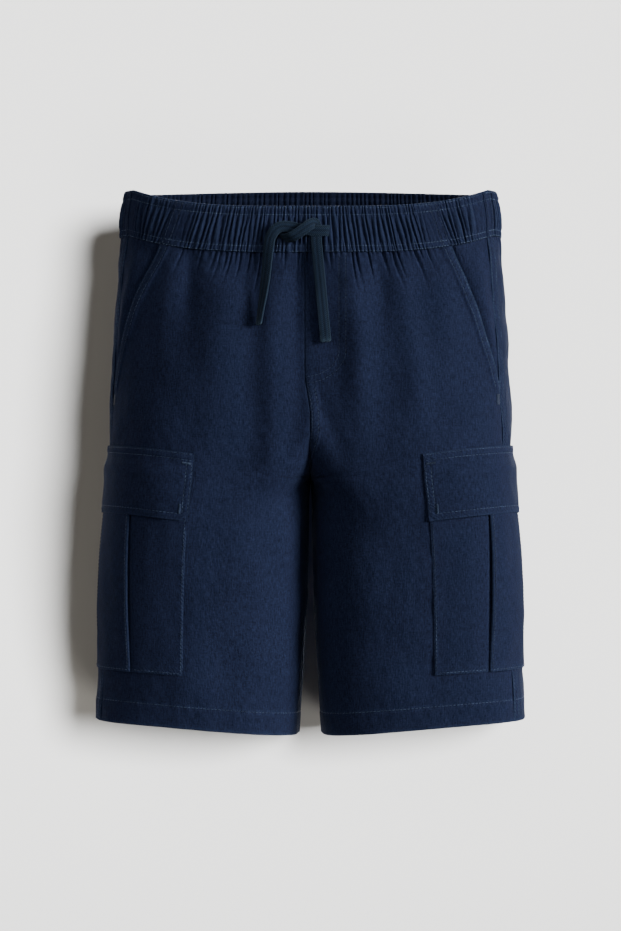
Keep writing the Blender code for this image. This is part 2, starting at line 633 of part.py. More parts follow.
def cord_knot(form, name):
    """The half knot with the two short stretches to the holes, as one rounded bar across the band."""
    half_length = (KNOT_LEFT - KNOT_RIGHT) / 2
    middle = (KNOT_LEFT + KNOT_RIGHT) / 2
    bm = bmesh.new()
    bmesh.ops.create_uvsphere(bm, u_segments=KNOT_SIDES, v_segments=KNOT_RINGS, radius=1.0)
    for vertex in bm.verts:
        x, y, z = vertex.co
        radius = math.hypot(x, y)
        fuller = radius ** (KNOT_SQUARENESS - 1) if radius > 0 else 1.0
        across = middle + math.copysign(abs(z) ** KNOT_FULLNESS, z) * half_length
        drop = KNOT_DROP + x * fuller * KNOT_HEIGHT / 2
        height = KNOT_STAND + (1 + y * fuller) * KNOT_DEPTH / 2
        vertex.co = form.about_centre("front", across, drop, height)
    return add_object(name, bm, "flat_cord")


def main():
    """Builds the shorts."""
    for obj in list(bpy.data.objects):
        bpy.data.objects.remove(obj)
    form = Form()
    waistband(form)
    for name, side in (("left", 1), ("right", -1)):
        leg_panel(form, "front_" + name, side, "front")
        leg_panel(form, "back_" + name, side, "back")
        hip_facing(form, "hip_facing_" + name, side)
        cargo_pocket(form, "cargo_pocket_" + name, side)
        cargo_flap(form, "cargo_flap_" + name, side)
    cord_knot(form, "drawcord_knot")
    cord_tail(form, "drawcord_tail_left", LEFT_TAIL)
    cord_tail(form, "drawcord_tail_right", RIGHT_TAIL)


main()
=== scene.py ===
"""Pull-on cargo shorts in washed navy twill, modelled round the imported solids.

Metres: +X is the wearer's left, -Y the front and +Z up, with the origin in the middle of the waist.
A place on the cloth is given by away, a distance along the cloth from a side seam, and drop, the
distance below the waistband's top edge at the side seams. A lift is a height over the cloth's face.
"""
from __future__ import annotations

import json
import logging
import math
from dataclasses import dataclass, field
from enum import Enum
from typing import Callable, Optional, Sequence

import bmesh
import bpy
import numpy as np
from bpy.types import Material, Node, NodeSocket, NodeTree, Object
from mathutils import Matrix, Vector

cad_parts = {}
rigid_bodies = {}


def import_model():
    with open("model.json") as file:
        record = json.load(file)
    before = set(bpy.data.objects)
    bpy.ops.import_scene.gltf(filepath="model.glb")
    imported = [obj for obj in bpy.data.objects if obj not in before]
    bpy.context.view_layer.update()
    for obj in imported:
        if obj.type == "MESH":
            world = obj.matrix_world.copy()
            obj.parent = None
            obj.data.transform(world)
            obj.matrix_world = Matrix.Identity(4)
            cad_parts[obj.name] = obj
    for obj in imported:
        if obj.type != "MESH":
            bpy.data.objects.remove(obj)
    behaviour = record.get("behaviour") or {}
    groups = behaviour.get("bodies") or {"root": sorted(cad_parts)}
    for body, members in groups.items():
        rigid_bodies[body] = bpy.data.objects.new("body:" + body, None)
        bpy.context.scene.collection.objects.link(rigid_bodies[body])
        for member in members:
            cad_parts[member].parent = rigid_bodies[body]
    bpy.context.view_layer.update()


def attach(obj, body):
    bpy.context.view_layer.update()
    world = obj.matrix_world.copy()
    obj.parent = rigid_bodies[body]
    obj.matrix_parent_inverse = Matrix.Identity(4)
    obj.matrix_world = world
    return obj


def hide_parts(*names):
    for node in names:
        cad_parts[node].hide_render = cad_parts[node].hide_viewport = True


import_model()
log = logging.getLogger("shorts")

Array = np.ndarray
Number = float | np.ndarray
Table = Sequence[Sequence[float]]
Colour = tuple[float, float, float, float]
# A surface turns distances along the cloth, drops and lifts into points.
Surface = Callable[[Array, Array, Array], Array]

MM = 0.001
ROOT = "root"


class Face(Enum):
    """The two faces of the garment."""

    FRONT = "front"
    BACK = "back"


class Side(Enum):
    """The wearer's two sides, with the sign of X on each."""

    LEFT = 1
    RIGHT = -1

    @property
    def word(self) -> str:
        """The side's name in a piece."""
        return self.name.lower()


# ---------------------------------------------------------------- curves
def smooth(table: Table, column: int, at: Number) -> Array:
    """A table's column on a curve that never overshoots.

    Args:
        table: rows in rising order of their first value.
        column: the column that is read.
        at: first-column values.

    Returns:
        The column's values there.
    """
    at = np.asarray(at, float)
    x, y = (np.array([row[k] for row in table]) for k in (0, column))
    rise = np.diff(y) / np.diff(x)
    slope = np.concatenate([rise[:1], np.zeros(len(x) - 2), rise[-1:]])
    for k in range(1, len(x) - 1):
        if rise[k - 1] * rise[k] > 0:
            slope[k] = 2 * rise[k - 1] * rise[k] / (rise[k - 1] + rise[k])
    k = np.clip(np.searchsorted(x, at) - 1, 0, len(x) - 2)
    width = x[k + 1] - x[k]
    t = np.clip((at - x[k]) / width, 0.0, 1.0)
    start = y[k] * (1 + 2 * t) * (1 - t) ** 2 + slope[k] * width * t * (1 - t) ** 2
    return start + (y[k + 1] * t * t * (3 - 2 * t) + slope[k + 1] * width * t * t * (t - 1))


def ease(low: Number, high: Number, at: Number) -> Array:
    """0 below low, 1 above high, and smooth between."""
    t = np.clip((np.asarray(at, float) - low) / (high - low), 0.0, 1.0)
    return t * t * (3 - 2 * t)


def fall(low: Number, high: Number, at: Number) -> Array:
    """1 below low, 0 above high, and smooth between."""
    return 1 - ease(low, high, at)


def near(distance: Number, reach: float) -> Array:
    """1 at an edge, dying away over the reach."""
    return np.exp(-distance / reach)


def bell(at: Array, middle: Number, half_width: float) -> Array:
    """1 at the middle, dying away over the half width to each side."""
    return np.exp(-(((at - middle) / half_width) ** 2))


def double_row(at: Array, first: float, apart: float = 0.0050, half_width: float = 0.0007) -> Array:
    """The two grooves that a double row of stitches presses into cloth, 0 to 1."""
    return bell(at, first, half_width) + bell(at, first + apart, half_width + 0.0001)


def within(at: Array, high: float, low: float) -> Array:
    """How far a value lies inside two limits."""
    return np.minimum(high - at, at - low)


def uneven(number: float, seed: float) -> float:
    """A repeatable scatter between -1 and 1."""
    value = math.sin(number * 12.9898 + seed * 78.233) * 43758.5453
    return 2 * (value - math.floor(value)) - 1


def ripple(u: Array, v: Array, size: float, seed: int) -> Array:
    """Soft unevenness between about -1 and 1.

    Args:
        u: distance across, in metres.
        v: distance down, in metres.
        size: how far apart its swellings are.
        seed: picks one pattern.
    """
    total = np.zeros(np.broadcast(u, v).shape)
    for k in range(6):
        turn = 2.399 * k + 0.61 * seed
        length = size * (1.0 + 0.45 * uneven(k, seed))
        along = u * math.cos(turn) + v * math.sin(turn)
        across = v * math.cos(turn) - u * math.sin(turn)
        bent = along + 0.22 * length * np.sin(across * math.tau / (2.3 * length) + 1.3 * k + seed)
        total += np.sin(bent * math.tau / length + 4.0 * uneven(k + 9, seed))
    return total / 3.2


def steps(*stops: tuple[float, float]) -> Array:
    """Values from stop to stop, each a value and the widest step allowed on the way to it."""
    values = [stops[0][0]]
    for stop, widest in stops[1:]:
        count = max(1, math.ceil(abs(stop - values[-1]) / widest - 1e-6))
        values += list(np.linspace(values[-1], stop, count + 1)[1:])
    return np.array(values)


def grid(rows: Array, columns: Array) -> tuple[Array, Array]:
    """Row and column values spread over a grid."""
    return np.meshgrid(np.asarray(rows, float), np.asarray(columns, float), indexing="ij")


def edge_fold(distance: Number, radius: float) -> Array:
    """How far a rounded edge has turned, 1 at the edge and 0 a radius away from it."""
    inward = np.clip(1 - distance / radius, 0.0, 1.0)
    return 1 - np.sqrt(np.clip(1 - inward * inward, 0.0, 1.0))


def unit(vectors: Array) -> Array:
    """Vectors at length 1."""
    return vectors / np.linalg.norm(vectors, axis=-1, keepdims=True)


def travelled(points: Array) -> Array:
    """The distance along a line of points, at each of them."""
    return np.concatenate([[0.0], np.cumsum(np.linalg.norm(np.diff(points, axis=0), axis=1))])


def resampled(points: Array, at: Array) -> Array:
    """Points of a line at distances along it."""
    along = travelled(points)
    return np.stack([np.interp(at, along, column) for column in points.T], axis=1)


# ---------------------------------------------------------------- the cut
@dataclass(frozen=True)
class Cut:
    """The driving sizes of the shorts."""

    top_z: float = 0.018
    length: float = 0.4358
    band: float = 0.038
    hem: float = 0.018
    seam_gap: float = 0.0003
    front_dip: float = 0.0165
    back_rise: float = 0.0055
    dip_ends: float = 0.150
    hem_slope: float = 0.0132
    hem_slope_starts: float = 0.300
    crotch: float = 0.237
    crotch_y: float = 0.008
    crotch_ease: float = 0.090
    least_delay: float = 0.001
    seam_shift: float = 0.0045
    seam_shift_spread: float = 0.045
    slant_ends: float = 0.165
    fly_width: float = 0.0325
    fly_turns: float = 0.134
    fly_round: float = 0.028
    fly_ends: float = 0.163
    gather_depth: float = 0.0009
    gather_unevenness: float = 0.5


CUT = Cut()
# Drops where each face starts to turn in to the crotch.
CROTCH_STARTS = {Face.FRONT: 0.190, Face.BACK: 0.150}
# Distances of the two rows of stitches from a seam's edge, and the same at the centre seams and the fly.
SEAM_ROWS, CENTRE_ROWS = (0.0013, 0.0063), (0.0014, 0.0064)

# The outline at a few drops: half width, reach to the front and to the back, level of the widest point,
# gap from the middle plane to a leg's inner face, and how much of a leg's own roundness there is.
HALF_WIDTH, INNER = 1, 5
FORM = (
    (-0.004, 0.1537, -0.0518, 0.0528, 0.010, 0.0, 0.00),
    (0.000, 0.1540, -0.0520, 0.0530, 0.010, 0.0, 0.00),
    (0.040, 0.1577, -0.0560, 0.0580, 0.010, 0.0, 0.05),
    (0.090, 0.1619, -0.0660, 0.0720, 0.010, 0.0, 0.20),
    (0.150, 0.1655, -0.0730, 0.0870, 0.010, 0.0, 0.50),
    (0.197, 0.1670, -0.0742, 0.0918, 0.009, 0.0002, 0.75),
    (0.237, 0.1668, -0.0735, 0.0865, 0.008, 0.0002, 0.92),
    (0.256, 0.1682, -0.0725, 0.0815, 0.007, 0.0014, 0.97),
    (0.300, 0.1714, -0.0700, 0.0720, 0.006, 0.0020, 1.00),
    (0.339, 0.1737, -0.0670, 0.0650, 0.005, 0.0029, 1.00),
    (0.388, 0.1753, -0.0635, 0.0585, 0.004, 0.0062, 1.00),
    (0.440, 0.1784, -0.0600, 0.0530, 0.003, 0.0100, 1.00),
)
# Level of the side seams, by drop.
SEAM_LEVEL = ((0.000, -0.0166), (0.173, -0.0226), (0.440, -0.0300))
# How much further forward the wearer's left seam lies than the right one, by drop.
LEFT_SEAM_FORWARD = (
    (-0.004, 0.0075), (0.048, 0.0085), (0.090, 0.0130), (0.174, 0.0160), (0.300, 0.0130), (0.440, 0.0090),
)
# The slanted pocket opening: drop, and distance from the side seam along the cloth.
SLANT = (
    (-0.004, 0.0445), (0.0055, 0.0430), (0.043, 0.0340), (0.081, 0.0225), (0.120, 0.0130), (0.150, 0.0050),
    (0.165, 0.0),
)
# Soft folds in millimetres: distance from the middle plane and drop at the top and at the lower end, half
# width and depth.
FOLDS = {
    Face.FRONT: MM * np.array((
        (-10.5, 45, -9, 205, 8, -2.2), (-31.5, 70, -31, 250, 10, 3), (-45, 40, -47, 110, 7, -2),
        (-70, 72, -79, 185, 20, 5.2), (-98, 40, -99, 100, 7, -2.4), (-113, 42, -118, 120, 9, 1.8),
        (34, 52, 41, 195, 12.5, 6.2), (56, 40, 58, 90, 6, -1.8), (73, 60, 88, 190, 11, 3.2),
        (103, 42, 110, 130, 10, 1.6), (5, 170, 26, 220, 6, -1.8), (-10, 195, -30, 235, 7, -1.2),
        (-97, 230, -97, 440, 30, 4.6), (-50, 260, -46, 440, 20, 2), (56, 300, 64, 440, 22, 1),
        (30, 285, 30, 440, 22, 2.4),
    )),
    Face.BACK: MM * np.array((
        (-20, 42, -24, 130, 9, 2.4), (24, 42, 28, 125, 9, 2.4), (-40, 40, -44, 105, 7, -2.2),
        (44, 40, 50, 110, 7, -2.2), (64, 42, 72, 130, 11, 2.2), (-66, 42, -74, 130, 11, 2.2),
        (92, 42, 102, 120, 8, -2), (-90, 42, -100, 120, 8, -2), (120, 42, 128, 130, 10, 1.6),
        (-120, 42, -128, 130, 10, 1.6), (-30, 235, -80, 280, 11, -3.2), (28, 240, 78, 290, 11, -3.2),
        (-60, 300, -70, 440, 20, 2.2), (66, 300, 62, 440, 20, 2.2), (-100, 290, -106, 420, 16, -1.6),
        (104, 290, 100, 420, 16, -1.6),
    )),
}
FOLD_FADE, FOLD_TAIL = 0.024, 0.055


def slant(drop: Number) -> Array:
    """Distance of the pocket opening from the side seam, and 0 below its end."""
    return np.where(np.asarray(drop) < CUT.slant_ends, smooth(SLANT, 1, drop), 0.0)


def opening(face: Face, drop: Number) -> Array:
    """Where a face's cloth starts: at the pocket opening on the front, at the side seam on the back."""
    return slant(drop) if face is Face.FRONT else np.zeros(np.shape(drop))


def seam_forward(side: Side, drop: Number) -> Array:
    """How far a side seam lies in front of the line where the front and back halves meet."""
    return smooth(LEFT_SEAM_FORWARD, 1, drop) if side is Side.LEFT else np.zeros(np.shape(drop))


def turned_under(face: Face, drop: Number) -> Array:
    """Whether a panel's inner edge faces the other leg at a drop, 0 to 1."""
    return ease(CROTCH_STARTS[face] - 0.012, CROTCH_STARTS[face] + 0.012, drop)


def crotch_share(drop: float, starts: float, nearness: Array) -> Array:
    """How far the cloth has turned inwards to a leg's own roundness, from 0 to 1.

    The seam turns under at the crotch. Away from it the cloth follows more and more slowly, so that no
    crease runs across the leg.

    Args:
        drop: the section's drop.
        starts: the drop where the turn starts.
        nearness: 0 at the leg's crown and 1 at the crotch seam.
    """
    span = CUT.crotch - starts
    delay = np.maximum(CUT.crotch_ease * (1 - nearness) / span, CUT.least_delay)
    back = np.linspace(0.0, 1.0, 49)[:, None]
    weight = back * (1 - back)
    turn = 1 - np.sqrt(1 - np.clip((drop - starts) / span - delay * back, 0.0, 1.0) ** 2)
    return (turn * weight).sum(axis=0) / weight.sum()


# ---------------------------------------------------------------- the worn form
@dataclass
class Form:
    """The worn shape of the cloth's outer face, stored as sections and read between them."""

    roundness: float = 2.5
    drop_step: float = 0.0005
    point_count: int = 241
    fineness: int = 240
    points: dict = field(default_factory=dict)
    normals: dict = field(default_factory=dict)
    lengths: dict = field(default_factory=dict)

    def __post_init__(self) -> None:
        """Works the sections out from the outline."""
        self.drops = np.arange(FORM[0][0], FORM[-1][0] + self.drop_step, self.drop_step)
        for face, lines in zip(Face, zip(*(self._section(float(drop)) for drop in self.drops))):
            lengths = [travelled(line)[-1] for line in lines]
            rows = []
            for drop, line, length in zip(self.drops, lines, lengths):
                rows.append(self._raised(face, resampled(line, np.linspace(0.0, length, self.point_count)), drop))
            table = np.array(rows)
            across, down = np.gradient(table, axis=1), np.gradient(table, axis=0)
            self.points[face], self.lengths[face] = table, np.array(lengths)
            self.normals[face] = unit(np.cross(across, down) if face is Face.FRONT else np.cross(down, across))

    def _section(self, drop: float) -> tuple[Array, Array]:
        """One half section, from the side seam to the centre front and to the centre back."""
        half_width, front, back, side, inner, split = (float(smooth(FORM, k, drop)) for k in range(1, 7))
        crown = inner + split * (half_width - inner) / 2
        reach, power = side - front, 2 / self.roundness
        start = math.asin(((side - float(smooth(SEAM_LEVEL, 1, drop))) / reach) ** (self.roundness / 2))

        def outer(angle: Array, depth: float) -> Array:
            """The outer corner, from the widest point to the crown of the front or the back."""
            x = crown + (half_width - crown) * np.abs(np.cos(angle)) ** power
            return np.stack([x, side + depth * np.abs(np.sin(angle)) ** power], axis=1)

        def inward(level: float, face: Face) -> Array:
            """From that crown to the crotch seam or the inseam."""
            angle = np.linspace(0.0, math.pi / 2, self.fineness)[1:]
            nearness = np.sin(angle) ** power
            end = level + crotch_share(drop, CROTCH_STARTS[face], nearness) * (CUT.crotch_y - level)
            y = end + (level - end) * np.abs(np.cos(angle)) ** power
            return np.stack([crown - (crown - inner) * nearness, y], axis=1)

        ahead = outer(np.linspace(start, math.pi / 2, self.fineness), -reach)
        round_seam = outer(np.linspace(start, 0.0, self.fineness // 2), -reach)
        behind = outer(np.linspace(0.0, math.pi / 2, self.fineness)[1:], back - side)
        return (
            np.concatenate([ahead, inward(front, Face.FRONT)]),
            np.concatenate([round_seam, behind, inward(back, Face.BACK)]),
        )

    @staticmethod
    def _raised(face: Face, line: Array, drop: float) -> Array:
        """A section's points with their heights: the waist dips at the front and the hem slopes."""
        x, y = line[:, 0], line[:, 1]
        half_width, inner = (float(smooth(FORM, k, drop)) for k in (HALF_WIDTH, INNER))
        slope = CUT.hem_slope * (np.clip(half_width - x, 0.0, None) / (half_width - inner)) ** 1.5
        # The front dips from the seam's line inwards, and the back rises from its widest point inwards.
        if face is Face.FRONT:
            dip = CUT.front_dip * (1 - np.clip(x / x[0], 0.0, 1.0) ** 3.6)
        else:
            dip = -CUT.back_rise * (1 - (x / half_width) ** 2) * (np.arange(len(x)) >= np.argmax(x))
        z = CUT.top_z - drop - dip * fall(CUT.band, CUT.dip_ends, drop)
        return np.stack([x, y, z - slope * ease(CUT.hem_slope_starts, CUT.length, drop)], axis=1)

    def length(self, side: Side, face: Face, drop: Number) -> Array:
        """Length along the cloth from the side seam to the inner edge."""
        ahead = seam_forward(side, drop)
        return np.interp(drop, self.drops, self.lengths[face]) + (-ahead if face is Face.FRONT else ahead)

    def across(self, side: Side, face: Face, away: Array, drop: Array) -> Array:
        """Distance from the middle on the cut cloth, where the crotch's turn doesn't count."""
        return side.value * (self.length(side, face, np.minimum(drop, CROTCH_STARTS[face])) - away)

    def _read(self, table: Array, share: Array, drop: Array) -> Array:
        """A stored table between its rows and columns."""
        row = np.clip((drop - self.drops[0]) / self.drop_step, 0, len(self.drops) - 1.001)
        column = np.clip(share * (self.point_count - 1), 0, self.point_count - 1.001)
        i, j = row.astype(int), column.astype(int)
        a, b = (row - i)[..., None], (column - j)[..., None]
        upper = table[i, j] * (1 - b) + table[i, j + 1] * b
        lower = table[i + 1, j] * (1 - b) + table[i + 1, j + 1] * b
        return upper * (1 - a) + lower * a

    def cloth(self, side: Side, face: Face, away: Array, drop: Array, lift: Array) -> Array:
        """Points over the cloth's outer face.

        Args:
            side: the wearer's side.
            face: front or back.
            away: distance from the side seam along the cloth.
            drop: distance below the waistband's top edge at the side seams.
            lift: height over the face.

        Returns:
            An array of points.
        """
        return self.about_seam(side, away if face is Face.FRONT else -np.asarray(away), drop, lift)

    def about_seam(self, side: Side, away: Array, drop: Array, lift: Array) -> Array:
        """As cloth, with away positive towards the front and negative towards the back."""
        away, drop, lift = np.broadcast_arrays(*(np.asarray(v, float) for v in (away, drop, lift)))
        ahead = away + seam_forward(side, drop)
        front, back = (
            self._half(side, face, np.maximum(sign * ahead, 0.0), drop, lift) for face, sign in zip(Face, (1, -1))
        )
        return np.where((ahead >= 0)[..., None], front, back)

    def _half(self, side: Side, face: Face, along: Array, drop: Array, lift: Array) -> Array:
        """Points of the front or back half, at distances from the line where the halves meet."""
        share = along / np.interp(drop, self.drops, self.lengths[face])
        signs = np.array([side.value, 1.0, 1.0])
        point = self._read(self.points[face], share, drop) * signs
        normal = unit(self._read(self.normals[face], share, drop)) * signs
        if face is Face.FRONT:
            shift = CUT.seam_shift * fall(CUT.dip_ends, CROTCH_STARTS[face], drop)
            point[..., 0] -= shift * bell(point[..., 0], 0.0, CUT.seam_shift_spread)
        return point + normal * (lift + self._folds(face, point[..., 0], drop))[..., None]

    @staticmethod
    def _folds(face: Face, x: Array, drop: Array) -> Array:
        """How far the soft folds lift the cloth, or sink it. None runs into the crotch's seams."""
        lift = np.zeros(np.shape(x))
        for x0, top, x1, low, half_width, depth in FOLDS[face]:
            middle = x0 + np.clip((drop - top) / (low - top), 0.0, 1.0) * (x1 - x0)
            shown = ease(top - FOLD_FADE, top + FOLD_FADE, drop) * fall(low - FOLD_TAIL, low + FOLD_TAIL, drop)
            lift += depth * shown * bell(x, middle, half_width)
        return lift * (1 - turned_under(face, drop) * bell(x, 0.0, 0.012))

    def about_centre(self, face: Face, from_centre: Array, drop: Array, lift: Array) -> Array:
        """As cloth, by distance from the middle, positive towards the wearer's left."""
        from_centre, drop, lift = np.broadcast_arrays(*(np.asarray(v, float) for v in (from_centre, drop, lift)))
        left, right = (
            self.cloth(side, face, self.length(side, face, drop) - np.abs(from_centre), drop, lift) for side in Side
        )
        return np.where((from_centre >= 0)[..., None], left, right)


# ---------------------------------------------------------------- gathers and relief
@dataclass
class Gathers:
    """The pleats that an elastic pulls into one piece of the waistband."""

    count: int
    seed: int
    flat_ends: tuple[float, float] = (0.0, 0.0)

    def __post_init__(self) -> None:
        """Sets the ridges and valleys out unevenly, as in the solids."""
        halves = 2 * self.count
        widths = np.array([1 + CUT.gather_unevenness * uneven(k, self.seed) for k in range(halves)])
        self.share = np.concatenate([[0.0], np.cumsum(widths)]) / widths.sum()
        self.depth = np.array([1 + 0.3 * uneven(k, self.seed + 1) for k in range(halves + 1)])
        self.run_out = np.array([0.5 + 0.5 * uneven(k, self.seed + 5) for k in range(self.count + 1)])

    def columns(self, per_gather: int) -> Array:
        """Shares along the piece, with that many columns to a gather."""
        at = np.linspace(0.0, 2 * self.count, per_gather * self.count + 1)
        return np.interp(at, np.arange(2 * self.count + 1), self.share)

    def phase(self, share: Array, drop: Array) -> Array:
        """Whole numbers on ridges and halves in valleys, swaying a little down the piece."""
        along = share * self.count
        sway = 0.10 * np.sin(along * 1.9 + drop * 120) + 0.07 * np.sin(along * 0.7 - drop * 70)
        return np.interp(share, self.share, np.arange(2 * self.count + 1) / 2) + sway

    def strength(self, share: Array) -> Array:
        """How deep the gathers are there, about 1, and next to nothing on a flat end."""
        depth = np.interp(share, self.share, self.depth)
        for flat, at in zip(self.flat_ends, (share, 1 - share)):
            if flat:
                depth = depth * (0.12 + 0.88 * ease(flat * 0.7, flat * 1.3, at))
        return depth

    def wave(self, share: Array, drop: Array, sharpness: float, finer: float = 1.0) -> Array:
        """Height between -1 in a valley and 1 on a ridge.

        Args:
            share: share of the piece's length.
            drop: distance below the waistband's top edge.
            sharpness: below 1 the valleys are creases between round ridges.
            finer: how many times closer the ridges lie than the gathers do.
        """
        turns = finer * self.phase(share, drop)
        return self.strength(share) * (2 * np.abs(np.cos(math.pi * turns)) ** sharpness - 1)

    def release(self, share: Array, drop: Array) -> Array:
        """Depth of the short folds that each gather runs out into under the band, 0 to 1."""
        phase = self.phase(share, drop)
        run_out = self.run_out[np.clip(np.floor(phase).astype(int), 0, self.count)]
        fade = np.clip(1 - (drop - CUT.band) / (0.005 + 0.040 * run_out**2.5), 0.0, 1.0) ** 1.2
        deep = 0.45 + 0.75 * run_out**1.5
        return self.strength(share) * deep * (1 - np.abs(np.cos(math.pi * phase)) ** 1.2) * fade


GATHERS = {
    "front": Gathers(56, 1, (0.075, 0.085)),
    "back": Gathers(98, 2, (0.018, 0.018)),
    "side_left": Gathers(9, 3, (0.30, 0.0)),
    "side_right": Gathers(9, 4, (0.22, 0.0)),
}


@dataclass
class Relief:
    """The fine shape that seams, gathers and handling leave in a leg panel."""

    form: Form
    swell: float = 0.00085
    crumple: float = 0.00022
    gather_fold: float = 0.0019
    seam_sink: float = 0.0004
    tuck: float = 0.0024
    lap: float = 0.0007
    lap_width: float = 0.0085
    slant_lift: float = 0.0010
    centre_lap: float = 0.0006
    groove: float = 0.0003
    side_groove: float = 0.00025
    fly_lift: float = 0.00022
    hem_lift: float = 0.00035
    hem_pinch: float = 0.00035
    hem_rope: float = 0.00009
    top_roll: float = 0.0005
    top_sink: float = 0.0014

    def fly(self, across: Array, drop: Array) -> Array:
        """Distance inside the stitched mock fly, on the wearer's left of the centre front."""
        turn = np.clip(drop - CUT.fly_turns, 0.0, None) / CUT.fly_round
        return CUT.fly_width * np.sqrt(np.clip(1 - turn**2, 0.0, 1.0)) - across

    def panel(self, side: Side, face: Face, away: Array, drop: Array) -> Array:
        """Lift of a leg panel's outer face over the form."""
        away, drop = np.broadcast_arrays(np.asarray(away, float), np.asarray(drop, float))
        length = self.form.length(side, face, drop)
        inner = length - away
        across = side.value * inner
        plain = self.form.across(side, face, away, drop)
        under = turned_under(face, drop)
        lift = self.swell * ripple(plain, drop, 0.060, 3 if face is Face.FRONT else 7)
        lift += self.crumple * ripple(plain, drop, 0.019, 11)
        lift *= 1 - under * near(inner, 0.010)
        open_ = opening(face, drop)
        lift -= self.gather_fold * GATHERS[face.value].release((across / (length - open_) + 1) / 2, drop)
        if face is Face.FRONT:
            edge = away - open_
            pocket = fall(CUT.slant_ends - 0.006, CUT.slant_ends + 0.006, drop)
            raised = fall(0.0070, 0.0100, edge) * (self.slant_lift + 0.0005 * bell(drop, 0.100, 0.030))
            lift += pocket * (raised - self.groove * double_row(edge, SEAM_ROWS[0]))
            lift -= (1 - pocket) * (0.00015 * bell(away, 0.0, 0.0009) + 0.0010 * (away < -0.0002))
            inside = self.fly(across, drop)
            fly = ease(-0.0008, 0.0010, inside) - double_row(inside, CENTRE_ROWS[0], half_width=0.0008)
            lift += np.where((across > 0) & (drop < CUT.fly_ends), self.fly_lift * fly, 0.0)
            lap_starts, lap_stays = 0.155, 0.165
        else:
            lap = fall(self.lap_width - 0.0008, self.lap_width + 0.0008, away)
            lift += lap * self.lap * (1 - 0.9 * near(away, 0.0012)) - self.side_groove * double_row(away, 0.0016)
            lap_starts, lap_stays = 0.030, 0.040
        lift += (under * (self.seam_sink + 0.0005) - self.seam_sink) * near(inner, 0.0010)
        if side is Side.LEFT:
            # The left panels lap over the right ones along the centre seams.
            lapped = fall(0.0075, 0.0090, inner) * ease(lap_starts, lap_stays, drop)
            lapped = lapped * fall(CUT.crotch - 0.010, CUT.crotch, drop)
            edge = self.centre_lap * (1 - near(inner, 0.0007))
            lift += lapped * (edge - self.groove * double_row(inner, CENTRE_ROWS[0]))
        above = CUT.length - drop
        lift += self.hem_lift * fall(CUT.hem, CUT.hem + 0.0010, above)
        rope = self.hem_rope * np.sin(plain * math.tau / 0.0085 + above * 330 + 2.2 * np.sin(plain * 41))
        lift += rope * bell(above, CUT.hem - 0.0015, 0.0050)
        lift -= self.hem_pinch * bell(above, CUT.hem - 0.0004, 0.0011)
        top = drop - CUT.band
        lift += self.top_roll * near(np.clip(top, 0.0, None), 0.0050)
        return np.where(top < 0.0001, -self.top_sink, lift)

    def roping(self, side: Side, face: Face, away: Array, drop: Array) -> Array:
        """Where a leg panel's seams draw the cloth into fine puckers, 0 to 1."""
        inner = self.form.length(side, face, drop) - away
        shown = [0.30 * bell(CUT.length - drop, CUT.hem - 0.0004, 0.0022)]
        if face is Face.FRONT:
            shown.append(0.32 * fall(0.0064, 0.0082, away - slant(drop)) * (drop < CUT.slant_ends))
        else:
            shown.append(0.4 * fall(0.0068, 0.0090, away))
        if side is Side.LEFT:
            shown.append(0.45 * fall(0.0064, 0.0088, inner) * (0.35 + 0.65 * ease(0.150, 0.166, drop)))
            if face is Face.FRONT:
                shown.append(0.2 * bell(self.fly(inner, drop), 0.0038, 0.0036) * (drop < CUT.fly_ends))
        return np.max(shown, axis=0)

    def surface(self, side: Side, face: Face) -> Surface:
        """The relieved outer face of a leg panel, for what lies on it."""
        return lambda away, drop, lift: self.form.cloth(
            side, face, away, drop, lift + self.panel(side, face, away, drop)
        )


# ---------------------------------------------------------------- meshes
def outward(bm: bmesh.types.BMesh) -> None:
    """Turns a closed mesh's faces outwards."""
    bmesh.ops.recalc_face_normals(bm, faces=bm.faces[:])
    if bm.calc_volume(signed=True) < 0:
        bmesh.ops.reverse_faces(bm, faces=bm.faces[:])


def fresh_vertices(grown: dict) -> list[bmesh.types.BMVert]:
    """The vertices that an extrusion has added."""
    return [item for item in grown["geom"] if isinstance(item, bmesh.types.BMVert)]


def solid(name: str, bm: bmesh.types.BMesh, crisp: Optional[float] = None) -> Object:
    """Puts a finished mesh in the scene, shaded smooth.

    Args:
        name: the object's name.
        bm: the mesh, which is used up.
        crisp: edges sharper than this many degrees stay crisp.
    """
    mesh = bpy.data.meshes.new(name)
    bm.to_mesh(mesh)
    bm.free()
    mesh.shade_smooth()
    if crisp:
        mesh.set_sharp_from_angle(angle=math.radians(crisp))
    obj = bpy.data.objects.new(name, mesh)
    bpy.context.scene.collection.objects.link(obj)
    return obj


